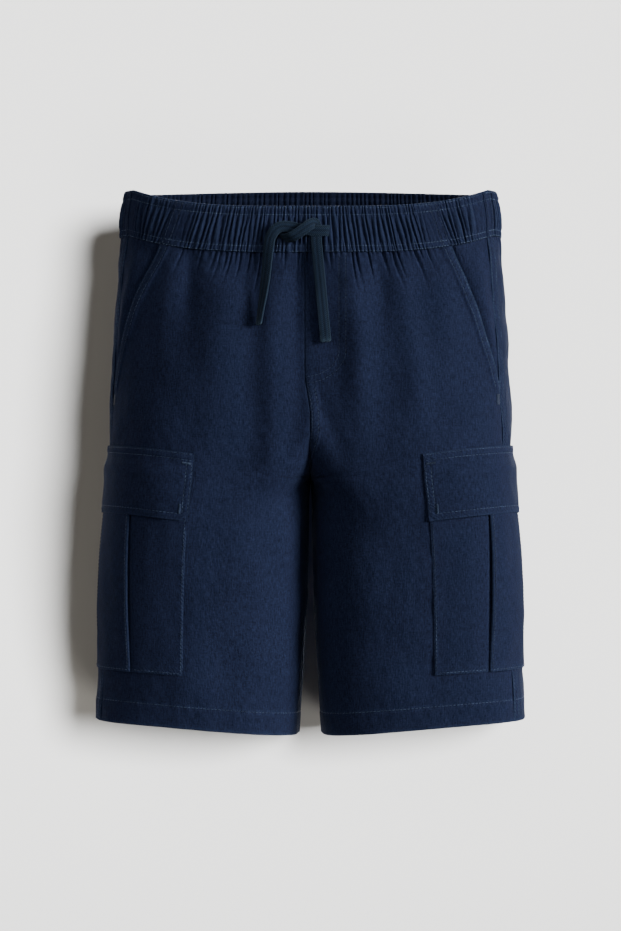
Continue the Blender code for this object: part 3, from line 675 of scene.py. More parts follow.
def shell(name: str, outer: Array, inner: Array, cut: Array, wear: Array, roped: Number = 0.0) -> Object:
    """A closed wall of cloth between two faces.

    Args:
        name: the piece's name.
        outer: the outer face's points, rows by columns.
        inner: the inner face's points.
        cut: distances across and down the flat cloth, in metres, rows by columns by 2.
        wear: how rubbed the cloth is, 0 to 1.
        roped: how much a seam draws the cloth into fine puckers, 0 to 1.

    Returns:
        The object, with the attributes cut, inside, wear and roped for its material; inside marks the inner face,
        which the material paints darker as painted shade.
    """
    rows, columns = outer.shape[:2]
    bm = bmesh.new()
    bmesh.ops.create_grid(bm, x_segments=columns - 1, y_segments=rows - 1, size=1.0)
    place, inside = bm.verts.layers.int.new("place"), bm.verts.layers.float.new("inside")
    for number, vertex in enumerate(bm.verts):
        vertex[place] = number
    lifted = set(fresh_vertices(bmesh.ops.extrude_face_region(bm, geom=bm.faces[:], use_keep_orig=True)))
    faces = {True: outer.reshape(-1, 3).tolist(), False: inner.reshape(-1, 3).tolist()}
    for vertex in bm.verts:
        vertex.co = faces[vertex in lifted][vertex[place]]
        # The inner face is marked here for the material's painted shade.
        vertex[inside] = float(vertex not in lifted)
    outward(bm)
    obj = solid(name, bm, 60.0)
    attributes = obj.data.attributes
    number = np.zeros(len(obj.data.vertices), np.int32)
    attributes["place"].data.foreach_get("value", number)
    attributes.remove(attributes["place"])
    flat = np.zeros((len(number), 3), np.float32)
    flat[:, :2] = cut.reshape(-1, 2)[number]
    attributes.new("cut", "FLOAT_VECTOR", "POINT").data.foreach_set("vector", flat.ravel())
    for label, values in (("wear", wear), ("roped", roped)):
        values = np.broadcast_to(values, (rows, columns)).reshape(-1)[number]
        values = np.clip(values, 0.0, 1.0).astype(np.float32)
        attributes.new(label, "FLOAT", "POINT").data.foreach_set("value", values)
    return obj


def dress(piece: Object, material: Material, nodes: Sequence[str] = ()) -> None:
    """Gives a piece its finish and its body, and hides the nodes that it stands for."""
    piece.data.materials.append(material)
    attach(piece, ROOT)
    if nodes:
        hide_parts(*nodes)
    log.info("%s: %d faces", piece.name, len(piece.data.polygons))


def cloth_piece(
    node: str, material: Material, faces: Sequence[Number], flat: tuple[float, float],
    area: Optional[float] = None,
) -> None:
    """Makes one cut piece of twill.

    Args:
        node: the node that it stands for.
        material: its finish.
        faces: the shell's faces, cut, wear and puckers.
        flat: its width and length before it was sewn; not used.
        area: its flat area where the cut isn't a rectangle; not used.
    """
    obj = shell(f"cloth_{node}", *faces)
    dress(obj, material, [node])


# ---------------------------------------------------------------- finishes
@dataclass
class Bench:
    """Adds and joins the shader nodes of one tree."""

    tree: NodeTree

    def give(self, socket: NodeSocket, value: object) -> None:
        """Sets a socket, or joins another socket to it."""
        if isinstance(value, NodeSocket):
            self.tree.links.new(value, socket)
        else:
            socket.default_value = value

    def fill(self, node: Node, **values: object) -> None:
        """Sets a node's inputs by name, with _ for spaces."""
        for key, value in values.items():
            self.give(node.inputs[key.replace("_", " ")], value)

    def node(self, kind: str, settings: Optional[dict] = None, **values: object) -> Node:
        """A shader node with its settings, and values for its inputs."""
        node = self.tree.nodes.new(f"ShaderNode{kind}")
        for key, value in (settings or {}).items():
            setattr(node, key, value)
        self.fill(node, **values)
        return node

    def maths(self, operation: str, *values: object, kind: str = "Math") -> NodeSocket:
        """A Math node's result, or a VectorMath node's."""
        node = self.node(kind, {"operation": operation})
        for socket, value in zip(node.inputs, values):
            self.give(socket, value)
        return node.outputs[0]

    def times(self, first: object, second: object) -> NodeSocket:
        """The product of two values."""
        return self.maths("MULTIPLY", first, second)

    def scaled(self, value: object, scale: object, offset: object) -> NodeSocket:
        """A value times a scale, plus an offset."""
        return self.maths("MULTIPLY_ADD", value, scale, offset)

    def wave(self, turns: object) -> NodeSocket:
        """A sine wave between 0 and 1."""
        return self.scaled(self.maths("SINE", turns), 0.5, 0.5)

    def spread(self, value: object, low: float, high: float) -> NodeSocket:
        """A value drawn apart to 0 at low and 1 at high."""
        return self.node("MapRange", Value=value, From_Min=low, From_Max=high).outputs[0]

    def mix(self, factor: object, first: object, second: object) -> NodeSocket:
        """A colour between two."""
        node = self.node("Mix", {"data_type": "RGBA"})
        for name, value in (("Factor_Float", factor), ("A_Color", first), ("B_Color", second)):
            self.give(next(s for s in node.inputs if s.identifier == name), value)
        return next(s for s in node.outputs if s.identifier == "Result_Color")

    def noise(self, vector: object, scale: float, detail: float = 2.0) -> NodeSocket:
        """A Noise Texture's value, about 0.5."""
        return self.node("TexNoise", Vector=vector, Scale=scale, Detail=detail, Roughness=0.55).outputs[0]

    def attribute(self, name: str, output: str = "Fac") -> NodeSocket:
        """What a mesh stores under a name."""
        return self.node("Attribute", {"attribute_name": name}).outputs[output]

    def bump(self, height: object, distance: float, **values: object) -> NodeSocket:
        """A normal from a height."""
        return self.node("Bump", Strength=1.0, Distance=distance, Height=height, **values).outputs[0]


def new_material(name: str) -> tuple[Material, Bench, Node]:
    """A material, its bench, and its Principled node."""
    material = bpy.data.materials.new(name)
    material.use_nodes = True
    return material, Bench(material.node_tree), material.node_tree.nodes["Principled BSDF"]


def new_group(name: str, inputs: dict[str, str], outputs: Sequence[str]) -> tuple[Bench, list[NodeSocket], Node]:
    """An empty shader group.

    Args:
        name: the group's name.
        inputs: the kind of each input, by name.
        outputs: the names of its values.

    Returns:
        Its bench, its input sockets, and its output node.
    """
    tree = bpy.data.node_groups.new(name, "ShaderNodeTree")
    for label, kind in inputs.items():
        tree.interface.new_socket(label, in_out="INPUT", socket_type=f"NodeSocket{kind}")
    for label in outputs:
        tree.interface.new_socket(label, in_out="OUTPUT", socket_type="NodeSocketFloat")
    entry = tree.nodes.new("NodeGroupInput")
    return Bench(tree), [entry.outputs[label] for label in inputs], tree.nodes.new("NodeGroupOutput")


def weave_group() -> NodeTree:
    """Twill: diagonal ribs over uneven yarns, as a tone and a height, both about 0.5."""
    bench, (cut, pitch), leave = new_group("twill weave", {"Cut": "Vector", "Rib Pitch": "Float"}, ["Tone", "Height"])
    across, down, _ = bench.node("SeparateXYZ", Vector=cut).outputs
    along = bench.maths("ADD", across, bench.times(down, 0.62))
    along = bench.maths("ADD", along, bench.times(bench.noise(cut, 420.0, 1.0), 0.0004))
    rib = bench.wave(bench.maths("DIVIDE", bench.times(along, math.tau), pitch))
    warp, weft = (
        bench.noise(bench.maths("MULTIPLY", cut, scales, kind="VectorMath"), 1.0, 1.0)
        for scales in ((940.0, 190.0, 1.0), (280.0, 900.0, 1.0))
    )
    yarn = bench.scaled(warp, 0.47, bench.times(weft, 0.22))
    # The yarns' noise keeps close to its middle, so it is drawn apart.
    yarn = bench.spread(bench.scaled(bench.noise(cut, 700.0, 1.0), 0.31, yarn), 0.31, 0.69)
    tone, height = (bench.scaled(rib, share, bench.times(yarn, 1 - share)) for share in (0.16, 0.45))
    bench.fill(leave, Tone=tone, Height=height)
    return bench.tree


def roping_group() -> NodeTree:
    """Seam puckers: slanting ridges that the thread pulls up along a seam, 0 to 1."""
    bench, (cut,), leave = new_group("seam puckers", {"Cut": "Vector"}, ["Ridge"])
    across, down, _ = bench.node("SeparateXYZ", Vector=cut).outputs
    slanted = bench.maths("ADD", down, bench.times(across, 0.9))
    bent = bench.scaled(bench.noise(cut, 170.0, 1.0), 0.0060, slanted)
    ridge = bench.wave(bench.times(bent, math.tau / 0.0034))
    bench.fill(leave, Ridge=bench.times(ridge, bench.scaled(bench.noise(cut, 300.0, 2.0), 1.4, 0.1)))
    return bench.tree


def wear_group() -> NodeTree:
    """Rubbing: where cloth is folded or ridged its blue has gone paler, in broken patches."""
    bench, (wear, cut), leave = new_group("rubbed cloth", {"Wear": "Float", "Cut": "Vector"}, ["Mask"])
    patches = bench.times(bench.noise(cut, 60.0, 2.0), 0.9)
    worn = bench.times(wear, bench.scaled(bench.noise(cut, 700.0, 3.0), 1.1, patches))
    bench.fill(leave, Mask=bench.node("Clamp", Value=worn).outputs[0])
    return bench.tree


@dataclass(frozen=True)
class Twill:
    """The washed navy twill, with the same cloth at every place."""

    name: str
    deep: Colour
    base: Colour
    worn: Colour
    rib_pitch: float = 0.00085
    relief: float = 0.00016
    puckers: float = 0.00045
    roughness: float = 0.86
    sheen: float = 0.02
    sheen_tint: Colour = (0.32, 0.45, 0.75, 1.0)

    def material(self, weave: NodeTree, wear: NodeTree, roping: NodeTree) -> Material:
        """The finish as a material."""
        material, bench, shader = new_material(self.name)
        cut = bench.attribute("cut", "Vector")
        cloth = bench.node("Group", {"node_tree": weave}, Cut=cut, Rib_Pitch=self.rib_pitch).outputs
        ridge = bench.node("Group", {"node_tree": roping}, Cut=cut).outputs["Ridge"]
        ridge = bench.times(ridge, bench.attribute("roped"))
        rubbed = bench.scaled(ridge, 0.22, bench.attribute("wear"))
        mask = bench.node("Group", {"node_tree": wear}, Wear=rubbed, Cut=cut).outputs["Mask"]
        tone = bench.spread(bench.scaled(bench.noise(cut, 14.0, 3.0), 0.24, cloth["Tone"]), 0.12, 1.12)
        colour = bench.mix(mask, bench.mix(tone, self.deep, self.base), self.worn)
        # Painted shade: the inner faces are painted towards the deep colour, so that the inside of the waist and the
        # legs reads darker.
        colour = bench.mix(bench.times(bench.attribute("inside"), 0.55), colour, self.deep)
        fine = bench.bump(cloth["Height"], self.relief)
        bench.fill(
            shader, Base_Color=colour, Roughness=bench.scaled(cloth["Tone"], 0.16, self.roughness - 0.08),
            Specular_IOR_Level=0.04, Sheen_Weight=self.sheen, Sheen_Roughness=0.45, Sheen_Tint=self.sheen_tint,
            Normal=bench.bump(ridge, self.puckers, Normal=fine),
        )
        return material


@dataclass(frozen=True)
class Braid:
    """The flat braided cord: plaited yarns that slant towards its middle from both edges."""

    name: str
    deep: Colour
    base: Colour
    worn: Colour
    pitch: float = 0.0016
    relief: float = 0.00040

    def material(self) -> Material:
        """The finish as a material, read from the attribute cut: across and along the cord, with painted shade in the
        plait's hollows.
        """
        material, bench, shader = new_material(self.name)
        cut = bench.attribute("cut", "Vector")
        across, along, _ = bench.node("SeparateXYZ", Vector=cut).outputs
        across = bench.maths("PINGPONG", across, self.pitch)
        slanted = bench.maths("ADD", bench.times(across, 1.1), along)
        plait = bench.wave(bench.times(slanted, math.tau / self.pitch))
        height = bench.scaled(bench.maths("DIVIDE", across, self.pitch), 0.45, bench.times(plait, 0.55))
        fuzz = bench.noise(cut, 1300.0, 2.0)
        # Painted shade: the tone follows the height, so the plait's hollows are painted darker than its raised yarns.
        tone = bench.scaled(fuzz, 0.5, bench.scaled(height, 1.1, -0.30))
        colour = bench.mix(tone, self.deep, self.base)
        bench.fill(
            shader, Base_Color=bench.mix(bench.times(bench.attribute("wear"), 0.5), colour, self.worn),
            Roughness=bench.scaled(fuzz, 0.15, 0.72), Specular_IOR_Level=0.06, Sheen_Weight=0.02,
            Normal=bench.bump(height, self.relief),
        )
        return material


@dataclass(frozen=True)
class Thread:
    """Spun polyester sewing thread, faded in places."""

    name: str
    base: Colour
    light: Colour
    roughness: float = 0.55
    relief: float = 0.00005

    def material(self) -> Material:
        """The finish as a material on Object coordinates."""
        material, bench, shader = new_material(self.name)
        here = bench.node("TexCoord").outputs["Object"]
        twist = bench.noise(here, 4200.0, 1.0)
        faded = bench.spread(bench.noise(here, 90.0, 3.0), 0.40, 0.62)
        bench.fill(
            shader, Base_Color=bench.mix(faded, self.base, self.light), Specular_IOR_Level=0.08,
            Roughness=bench.scaled(twist, 0.2, self.roughness - 0.1), Normal=bench.bump(twist, self.relief),
        )
        return material


# ---------------------------------------------------------------- the garment's pieces
@dataclass
class LegPanel:
    """One front or back, from the waistband to the hem and from the side seam to the inner seams."""

    relief: Relief
    side: Side
    face: Face
    thick: float = 0.0009
    hem_thick: float = 0.0021
    opening_fold: float = 0.0006
    edge: float = 0.0004

    # Columns to a gather, flat width and flat area of each face.
    PLAN = {Face.FRONT: (3.6, 0.245, 0.0780), Face.BACK: (2.3, 0.318, 0.1040)}
    FLAT_LENGTH = 0.412

    def rows(self) -> Array:
        """Drops of the rows, close at the waistband, the crotch and the hem."""
        top, hem, low = CUT.band + CUT.seam_gap, CUT.length - CUT.hem, CUT.length
        shown = steps(
            (top, 1.0), (top + 0.0030, 0.0010), (0.062, 0.0015), (0.100, 0.0032), (0.200, 0.0050),
            (CUT.crotch, 0.0028), (0.262, 0.0040), (hem - 0.004, 0.0056), (hem + 0.003, 0.0008),
            (low - 0.0024, 0.0022), (low - 0.0010, 0.0005), (low - 0.0002, 0.0002), (low, 0.0001),
        )
        return np.concatenate([[top - self.relief.tuck, top - 0.0004], shown])

    def columns(self, drop: Array) -> Array:
        """Distances from the side seam, close at the panel's edges, for each drop."""
        seam, inner = (
            steps((0.0, 1.0), (0.0002, 0.0001), (0.0012, 0.0003), (0.0090, widest), (0.0120, 0.0010))
            for widest in (0.0006, 0.0008)
        )
        middle = np.linspace(0.0, 1.0, int(GATHERS[self.face.value].count * self.PLAN[self.face][0]))[1:-1]
        start = CUT.seam_gap / 2 + opening(self.face, drop)
        end = self.relief.form.length(self.side, self.face, drop) - CUT.seam_gap / 2
        low, high = (start + seam[-1])[:, None], (end - inner[-1])[:, None]
        parts = [start[:, None] + seam, low + middle * (high - low), (end[:, None] - inner)[:, ::-1]]
        if self.face is Face.FRONT:
            # Below the pocket opening the front runs on under the back panel's lap.
            lap = start - 0.0001
            parts.insert(0, np.stack([lap - 0.0020 * (drop > CUT.slant_ends - 0.004), lap], axis=1))
        return np.concatenate(parts, axis=1)

    def make(self, material: Material) -> None:
        """Adds the panel."""
        form, rows = self.relief.form, self.rows()
        away = self.columns(rows)
        drop = np.broadcast_to(rows[:, None], away.shape)
        place = (self.side, self.face, away, drop)
        edge = away - opening(self.face, drop)
        inner = form.length(self.side, self.face, drop) - away
        above = CUT.length - drop
        thick = self.thick + fall(CUT.hem - 0.0002, CUT.hem + 0.0006, above) * (self.hem_thick - self.thick)
        wear = 0.40 * near(above, 0.0010) + 0.06 * bell(inner, 0.0010, 0.0010)
        wear += 0.05 * bell(above, CUT.hem + 0.0010, 0.0010)
        if self.face is Face.FRONT:
            thick = thick + self.opening_fold * fall(0.0085, 0.0095, edge) * (drop < CUT.slant_ends)
            wear += 0.40 * near(np.clip(edge, 0, None), 0.0009) * (drop < CUT.slant_ends + 0.002)
        else:
            wear += 0.16 * bell(away, 0.0008, 0.0007) + 0.06 * bell(away, 0.0084, 0.0009)
        rim = np.minimum(np.minimum(edge, inner) - CUT.seam_gap / 2, above)
        side_round = edge_fold(np.clip(rim, 0.0, None), self.edge) * self.edge * 0.6
        turn = np.maximum(edge_fold(above, 0.0011) * 0.0010, side_round)
        lift = self.relief.panel(*place)
        outer, inner_face = (form.cloth(*place, face) for face in (lift - turn, lift - thick + turn))
        cut = np.stack([form.across(*place), drop], axis=-1)
        faces = (outer, inner_face, cut, wear, self.relief.roping(*place))
        _, width, area = self.PLAN[self.face]
        cloth_piece(f"{self.face.value}_{self.side.word}", material, faces, (width, self.FLAT_LENGTH), area)


@dataclass
class Waistband:
    """The gathered casing of the elastic: a front, two short sides and a back."""

    form: Form
    thick: float = 0.0028
    edge: float = 0.0010
    low_edge: float = 0.0004
    crumple: float = 0.00016
    side_sink: float = 0.0005

    ROWS_OF_STITCHES = (0.0019, 0.0075, 0.0330, 0.0373)
    # Columns to a gather and flat width of each piece.
    PLAN = {"front": (11, 0.310), "back": (7, 0.520), "side_left": (11, 0.052), "side_right": (11, 0.052)}
    # Outer face: drop, stand over the form, share of the gathers, and share of the finer puckers that
    # the rows of stitches draw up.
    PROFILE = (
        (-0.0001, 0.0006, 0.20, 0.50), (0.0019, 0.0007, 0.22, 0.55), (0.0046, 0.0013, 0.45, 0.50),
        (0.0075, 0.0009, 0.50, 0.55), (0.0110, 0.0016, 0.95, 0.30), (0.0200, 0.0020, 1.30, 0.05),
        (0.0280, 0.0017, 1.15, 0.15), (0.0330, 0.0008, 0.65, 0.50), (0.0352, 0.0010, 0.62, 0.45),
        (0.0373, 0.0006, 0.58, 0.55), (0.0381, 0.0004, 0.60, 0.45),
    )

    def lift(self, gathers: Gathers, share: Array, drop: Array) -> tuple[Array, Array]:
        """Stand of the outer face, and the wave of the gathers there."""
        fine = gathers.wave(share, drop * 0.3, 0.90, 1.42)
        pulled = smooth(self.PROFILE, 2, drop) * gathers.wave(share, drop, 0.80) + smooth(self.PROFILE, 3, drop) * fine
        crumple = self.crumple * ripple(share * gathers.count * 0.0055, drop, 0.0040, gathers.seed + 20)
        return smooth(self.PROFILE, 1, drop) + CUT.gather_depth * pulled + crumple, pulled

    def place(self, key: str) -> Surface:
        """Where a share of a piece's length, a drop and a lift are."""
        form, gap = self.form, CUT.seam_gap / 2

        def middle(share: Array, drop: Array, lift: Array) -> Array:
            """Points of the front or the back, from the wearer's right to the left."""
            face = Face(key)
            left, right = (form.length(side, face, drop) - opening(face, drop) - gap for side in Side)
            return form.about_centre(face, (2 * share - 1) * np.where(share < 0.5, right, left), drop, lift)

        def flank(share: Array, drop: Array, lift: Array) -> Array:
            """Points of a side piece, from its side seam forwards."""
            side = Side.LEFT if key.endswith("left") else Side.RIGHT
            away = gap + share * (slant(drop) - gap - gap)
            return form.cloth(side, Face.FRONT, away, drop, lift - self.side_sink)

        return flank if key.startswith("side") else middle

    def surface(self, key: str) -> Surface:
        """The gathered outer face of a piece, for what lies on it."""
        place, gathers = self.place(key), GATHERS[key]
        return lambda share, drop, lift: place(share, drop, self.lift(gathers, share, drop)[0] + lift)

    def make(self, material: Material) -> None:
        """Adds the four pieces, with rows close at the edges and the rows of stitches."""
        rows = steps(
            (0.0, 1.0), (0.0002, 0.0002), (0.0014, 0.0004), (0.0100, 0.0009), (0.0290, 0.0021), (0.0376, 0.0009),
            (CUT.band, 0.0002),
        )
        for key, gathers in GATHERS.items():
            per_gather, width = self.PLAN[key]
            drop, share = grid(rows, gathers.columns(per_gather))
            lift, wave = self.lift(gathers, share, drop)
            low = edge_fold(CUT.band - drop, self.low_edge) * self.low_edge
            turn = np.maximum(edge_fold(drop, self.edge) * self.edge, low)
            inside = gathers.wave(share, drop * 0.4 + 0.02, 0.8)
            depth = self.thick + CUT.gather_depth * (0.55 * inside + 0.2 * wave)
            place = self.place(key)
            outer = place(share, drop, lift - turn)
            inner = place(share, drop, smooth(self.PROFILE, 1, drop) - depth + turn)
            wear = 0.14 * np.clip(wave, 0, 1) ** 3 * ease(0.0, 0.002, drop) + 0.30 * near(drop, 0.0008)
            from_row = np.min([np.abs(drop - row) for row in self.ROWS_OF_STITCHES], axis=0)
            cut = np.stack([share * width, drop], axis=-1)
            faces = (outer, inner, cut, wear, 0.5 * fall(0.0006, 0.0026, from_row))
            cloth_piece(f"waistband_{key}", material, faces, (width, CUT.band))


@dataclass
class HipFacing:
    """The cloth inside a slanted pocket opening, which runs on under the front."""

    form: Form
    side: Side
    thick: float = 0.0008
    under: float = 0.016
    slack: float = 0.0020
    gather_fold: float = 0.0014
    crumple: float = 0.0003
    groove: float = 0.0018
    top_sink: float = 0.0016

    FLAT, FLAT_AREA = (0.062, 0.130), 0.0055

    def lift(self, away: Array, drop: Array) -> Array:
        """Lift of its outer face: it sinks towards the opening and under the front."""
        open_ = slant(drop)
        depth = 0.00015 + 0.00130 * ease(-0.008, 0.001, away - open_)
        share = np.clip(away / np.maximum(open_, 1e-4), 0, 1)
        slack = self.slack * bell(share, 0.48, 0.30) * ease(0.040, 0.062, drop) * fall(0.105, 0.135, drop)
        fold = self.gather_fold * GATHERS[f"side_{self.side.word}"].release(share, drop)
        crumple = self.crumple * ripple(away, drop, 0.024, 5 + self.side.value)
        groove = self.groove * bell(away - open_, -0.0002, 0.0026) * fall(0.140, 0.160, drop)
        lift = slack + crumple - depth - groove - fold - 0.0005 * (away < -0.0001)
        return np.where(drop < CUT.band + 0.0001, -self.top_sink, lift)

    def make(self, material: Material) -> None:
        """Adds the facing."""
        top = CUT.band + CUT.seam_gap
        shown = steps((top, 1.0), (0.060, 0.0016), (CUT.slant_ends - 0.0015, 0.0030))
        drop, share = grid(np.concatenate([[top - 0.0024, top - 0.0004], shown]), steps((0.0, 1.0), (1.0, 0.022)))
        away = CUT.seam_gap / 2 + share * (slant(drop) + self.under * fall(0.120, 0.165, drop) + 0.0012)
        away = np.concatenate([away[:, :1] - 0.0020, away[:, :1] - 0.0003, away], axis=1)
        drop = np.concatenate([drop[:, :2], drop], axis=1)
        lift = self.lift(away, drop)
        outer, inner = (self.form.cloth(self.side, Face.FRONT, away, drop, up) for up in (lift, lift - self.thick))
        faces = (outer, inner, np.stack([away, drop], axis=-1), np.zeros(drop.shape))
        cloth_piece(f"hip_facing_{self.side.word}", material, faces, self.FLAT, self.FLAT_AREA)


@dataclass
class CargoPocket:
    """A cargo pocket about a side seam: a bag with a box pleat, and its flap."""

    form: Form
    side: Side
    middle: float = 0.0152
    narrowing: float = 0.83
    bag_front: float = 0.0905
    bag_back: float = -0.0601
    bag_top: float = 0.2275
    bag_bottom: float = 0.3930
    flap_front: float = 0.0915
    flap_back: float = -0.0611
    flap_top: float = 0.2105
    flap_bottom: float = 0.2655
    pleat_front: float = 0.0392
    pleat_back: float = -0.0088
    pleat_under: float = 0.0120
    bag_thick: float = 0.0008
    flap_thick: float = 0.0009
    bag_height: float = 0.86
    bag_crumple: float = 0.00020
    flap_rise: float = 0.0027
    flap_crumple: float = 0.00022

    # How much lower the level edges lie at the pocket's front edge, by drop.
    DROOP = ((0.200, 0.0070), (0.2655, 0.0065), (0.330, 0.0030), (0.400, 0.0))
    # How much wider the front part is on each side.
    REACH = {Side.LEFT: 1.04, Side.RIGHT: 1.0}
    # Points on the way from the bag's edge to the pleat's middle, leg by leg.
    COUNTS = (10, 10, 8, 5, 6, 2, 2, 6, 3, 3, 4, 10)
    # Width and length of the bag, with its pleat opened out, and of the flap.
    BAG_FLAT, FLAP_FLAT = (0.192, 0.172), (0.152, 0.057)

    def place(self, across: Array, drop: Array, lift: Array) -> Array:
        """Points at a distance from the side seam as at the flap's top, and at a drop as at the seam."""
        lower = smooth(self.DROOP, 1, drop) * (across / self.bag_front) ** 2
        narrower = 1 - self.narrowing * (drop - self.flap_top)
        narrower = narrower * np.where(across > self.middle, self.REACH[self.side], 1.0)
        away = self.middle + (across - self.middle) * narrower - seam_forward(self.side, drop)
        return self.form.about_seam(self.side, away, drop + lower, lift)

    def bag_line(self, drop: float) -> tuple[Array, Array]:
        """The bag's middle line across at a drop, through its pleat.

        Returns:
            Distances from the side seam and lifts, from the front edge to the back edge.
        """
        share = (drop - self.bag_top) / (self.bag_bottom - self.bag_top)
        # The pleat is stitched shut at both ends and stands open between.
        open_ = float(ease(0.10, 0.48, share) * fall(0.70, 0.985, share))
        rise, low, under = 0.0010 * open_, 0.0007, self.pleat_under

        def half(edge: float, fold: float, way: int) -> list[tuple[float, float]]:
            """Distances and lifts from an edge of the bag over, round and under one fold of the pleat."""
            return [(edge, low), (edge - way * 0.0100, low + 0.0003)] + [
                (fold - way * inside, lift)
                for inside, lift in (
                    (-0.018, 0.0017 + rise), (-0.0040, 0.0016 + rise), (-0.4 * (0.0020 + 0.0012 * open_), 0.0010),
                    (under, 0.0009), (under + 0.0004, 0.0014), (under, 0.0020), (0.0012, 0.0020 + rise),
                    (0.0003, 0.0026 + 1.6 * rise), (0.0010, 0.0033 + 1.9 * rise), (0.0060, 0.0035 + 1.7 * rise),
                )
            ]

        centre = ((self.pleat_front + self.pleat_back) / 2, 0.0035 + 1.1 * rise)
        behind = half(self.bag_back, self.pleat_back, -1)[::-1]
        plan = np.array([*half(self.bag_front, self.pleat_front, 1), centre, *behind])
        line = [plan[:1]]
        for start, end, count in zip(plan, plan[1:], self.COUNTS + self.COUNTS[::-1]):
            line.append(np.linspace(start, end, count + 1)[1:])
        across, lift = np.concatenate(line).T
        return across, self.bag_height * lift

    def make_bag(self, material: Material) -> None:
        """Adds the bag."""
        bottom = self.bag_bottom
        rows = steps(
            (self.bag_top, 1.0), (self.flap_bottom - 0.010, 0.0060), (bottom - 0.0030, 0.0036),
            (bottom - 0.0006, 0.0008), (bottom, 0.0002),
        )
        parts = []
        for row in rows:
            across, lift = self.bag_line(row)
            drop = np.full(len(across), row)
            along, up = np.gradient(np.stack([across, lift]), axis=1)
            along, up = np.stack([along, up]) / np.hypot(along, up)
            edge = within(across, self.bag_front, self.bag_back)
            lift = lift + self.bag_crumple * ripple(across + 0.3 * self.side.value, drop, 0.021, 31)
            folded = edge_fold(np.minimum(edge, min(row - self.bag_top, bottom - row)), 0.0006)
            half = (self.bag_thick / 2 + 0.0002 * bell(edge, 0.0, 0.006)) * (1 - 0.75 * folded)
            # Away from the leg is to the right of the way from front to back.
            outer = self.place(across + up * half, drop, lift - along * half)
            inner = self.place(across - up * half, drop, lift + along * half)
            cut = np.stack([travelled(np.stack([across, lift], axis=1)), drop], axis=-1)
            fold = np.minimum(np.abs(across - self.pleat_front + 0.0006), np.abs(across - self.pleat_back - 0.0006))
            wear = 0.16 * near(edge, 0.0008) + 0.14 * near(fold, 0.0008) * (lift > 0.0022)
            wear += 0.14 * near(bottom - row, 0.0010)
            seam = fall(0.0022, 0.0040, np.minimum(edge, bottom - row))
            parts.append((outer, inner, cut, wear, 0.45 * np.maximum(seam, 0.6 * (fold < 0.0030))))
        faces = [np.array(part) for part in zip(*parts)]
        cloth_piece(f"cargo_pocket_{self.side.word}", material, faces, self.BAG_FLAT)

    def bag_surface(self) -> Surface:
        """The bag's outer face away from its pleat, by distance from the side seam and drop."""

        def place(away: Array, drop: Array, lift: Array) -> Array:
            """Points at a lift over the bag."""
            stand = np.empty(np.shape(away))
            for k, (a, d) in enumerate(zip(np.ravel(away), np.ravel(drop))):
                across, line = self.bag_line(d)
                close = np.abs(across - a) < 0.0016
                stand.flat[k] = line[close].max() if close.any() else np.interp(-a, -across, line)
            return self.place(away, drop, lift + (stand + self.bag_thick / 2))

        return place

    def flap_lift(self, away: Array, down: Array) -> Array:
        """Lift of the flap's outer face by distance under its top edge."""
        edge = within(away, self.flap_front, self.flap_back)
        seam = np.minimum(edge, self.flap_bottom - self.flap_top - down)
        lift = 0.0016 + (0.0003 + self.flap_rise * ease(0.0, 0.034, edge)) * ease(0.0060, 0.0190, down)
        lift = lift + self.flap_crumple * ripple(away + 0.5 * self.side.value, down, 0.024, 41)
        lift += 0.0004 * ease(0.022, 0.055, down) * ease(0.050, 0.080, away) * self.side.value
        lift -= 0.00028 * double_row(seam, 0.0014, 0.0042, 0.0008)
        lift -= 0.00030 * double_row(down, 0.0013, 0.0047, 0.0008)
        wave = 0.00012 * np.sin((away + down) * math.tau / 0.0062)
        return lift + wave * bell(np.minimum(seam, down), 0.0030, 0.0030)

    def flap_surface(self) -> Surface:
        """The flap's outer face, by distance from the side seam and under its top edge."""
        return lambda away, down, lift: self.place(away, self.flap_top + down, lift + self.flap_lift(away, down))

    def make_flap(self, material: Material) -> None:
        """Adds the flap."""
        height, front, back = self.flap_bottom - self.flap_top, self.flap_front, self.flap_back
        rows = steps(
            (0.0, 1.0), (0.0002, 0.0002), (0.0080, 0.0006), (0.0200, 0.0014), (height - 0.0080, 0.0030),
            (height - 0.0006, 0.0007), (height - 0.0001, 0.0003), (height, 0.0001),
        )
        columns = steps(
            (front, 1.0), (front - 0.0002, 0.0002), (front - 0.0080, 0.0007), (back + 0.0080, 0.0026),
            (back + 0.0002, 0.0007), (back, 0.0002),
        )
        down, across = grid(rows, columns)
        rim = np.minimum(within(across, front, back), within(down, height, 0.0))
        lift, drop, turn = self.flap_lift(across, down), self.flap_top + down, edge_fold(rim, 0.0008) * 0.0008
        outer = self.place(across, drop, lift - turn)
        inner = self.place(across, drop, lift - self.flap_thick + turn)
        cut = np.stack([across, drop], axis=-1)
        faces = (outer, inner, cut, 0.14 * near(rim, 0.0008), 0.28 * fall(0.0056, 0.0075, rim))
        cloth_piece(f"cargo_flap_{self.side.word}", material, faces, self.FLAP_FLAT)


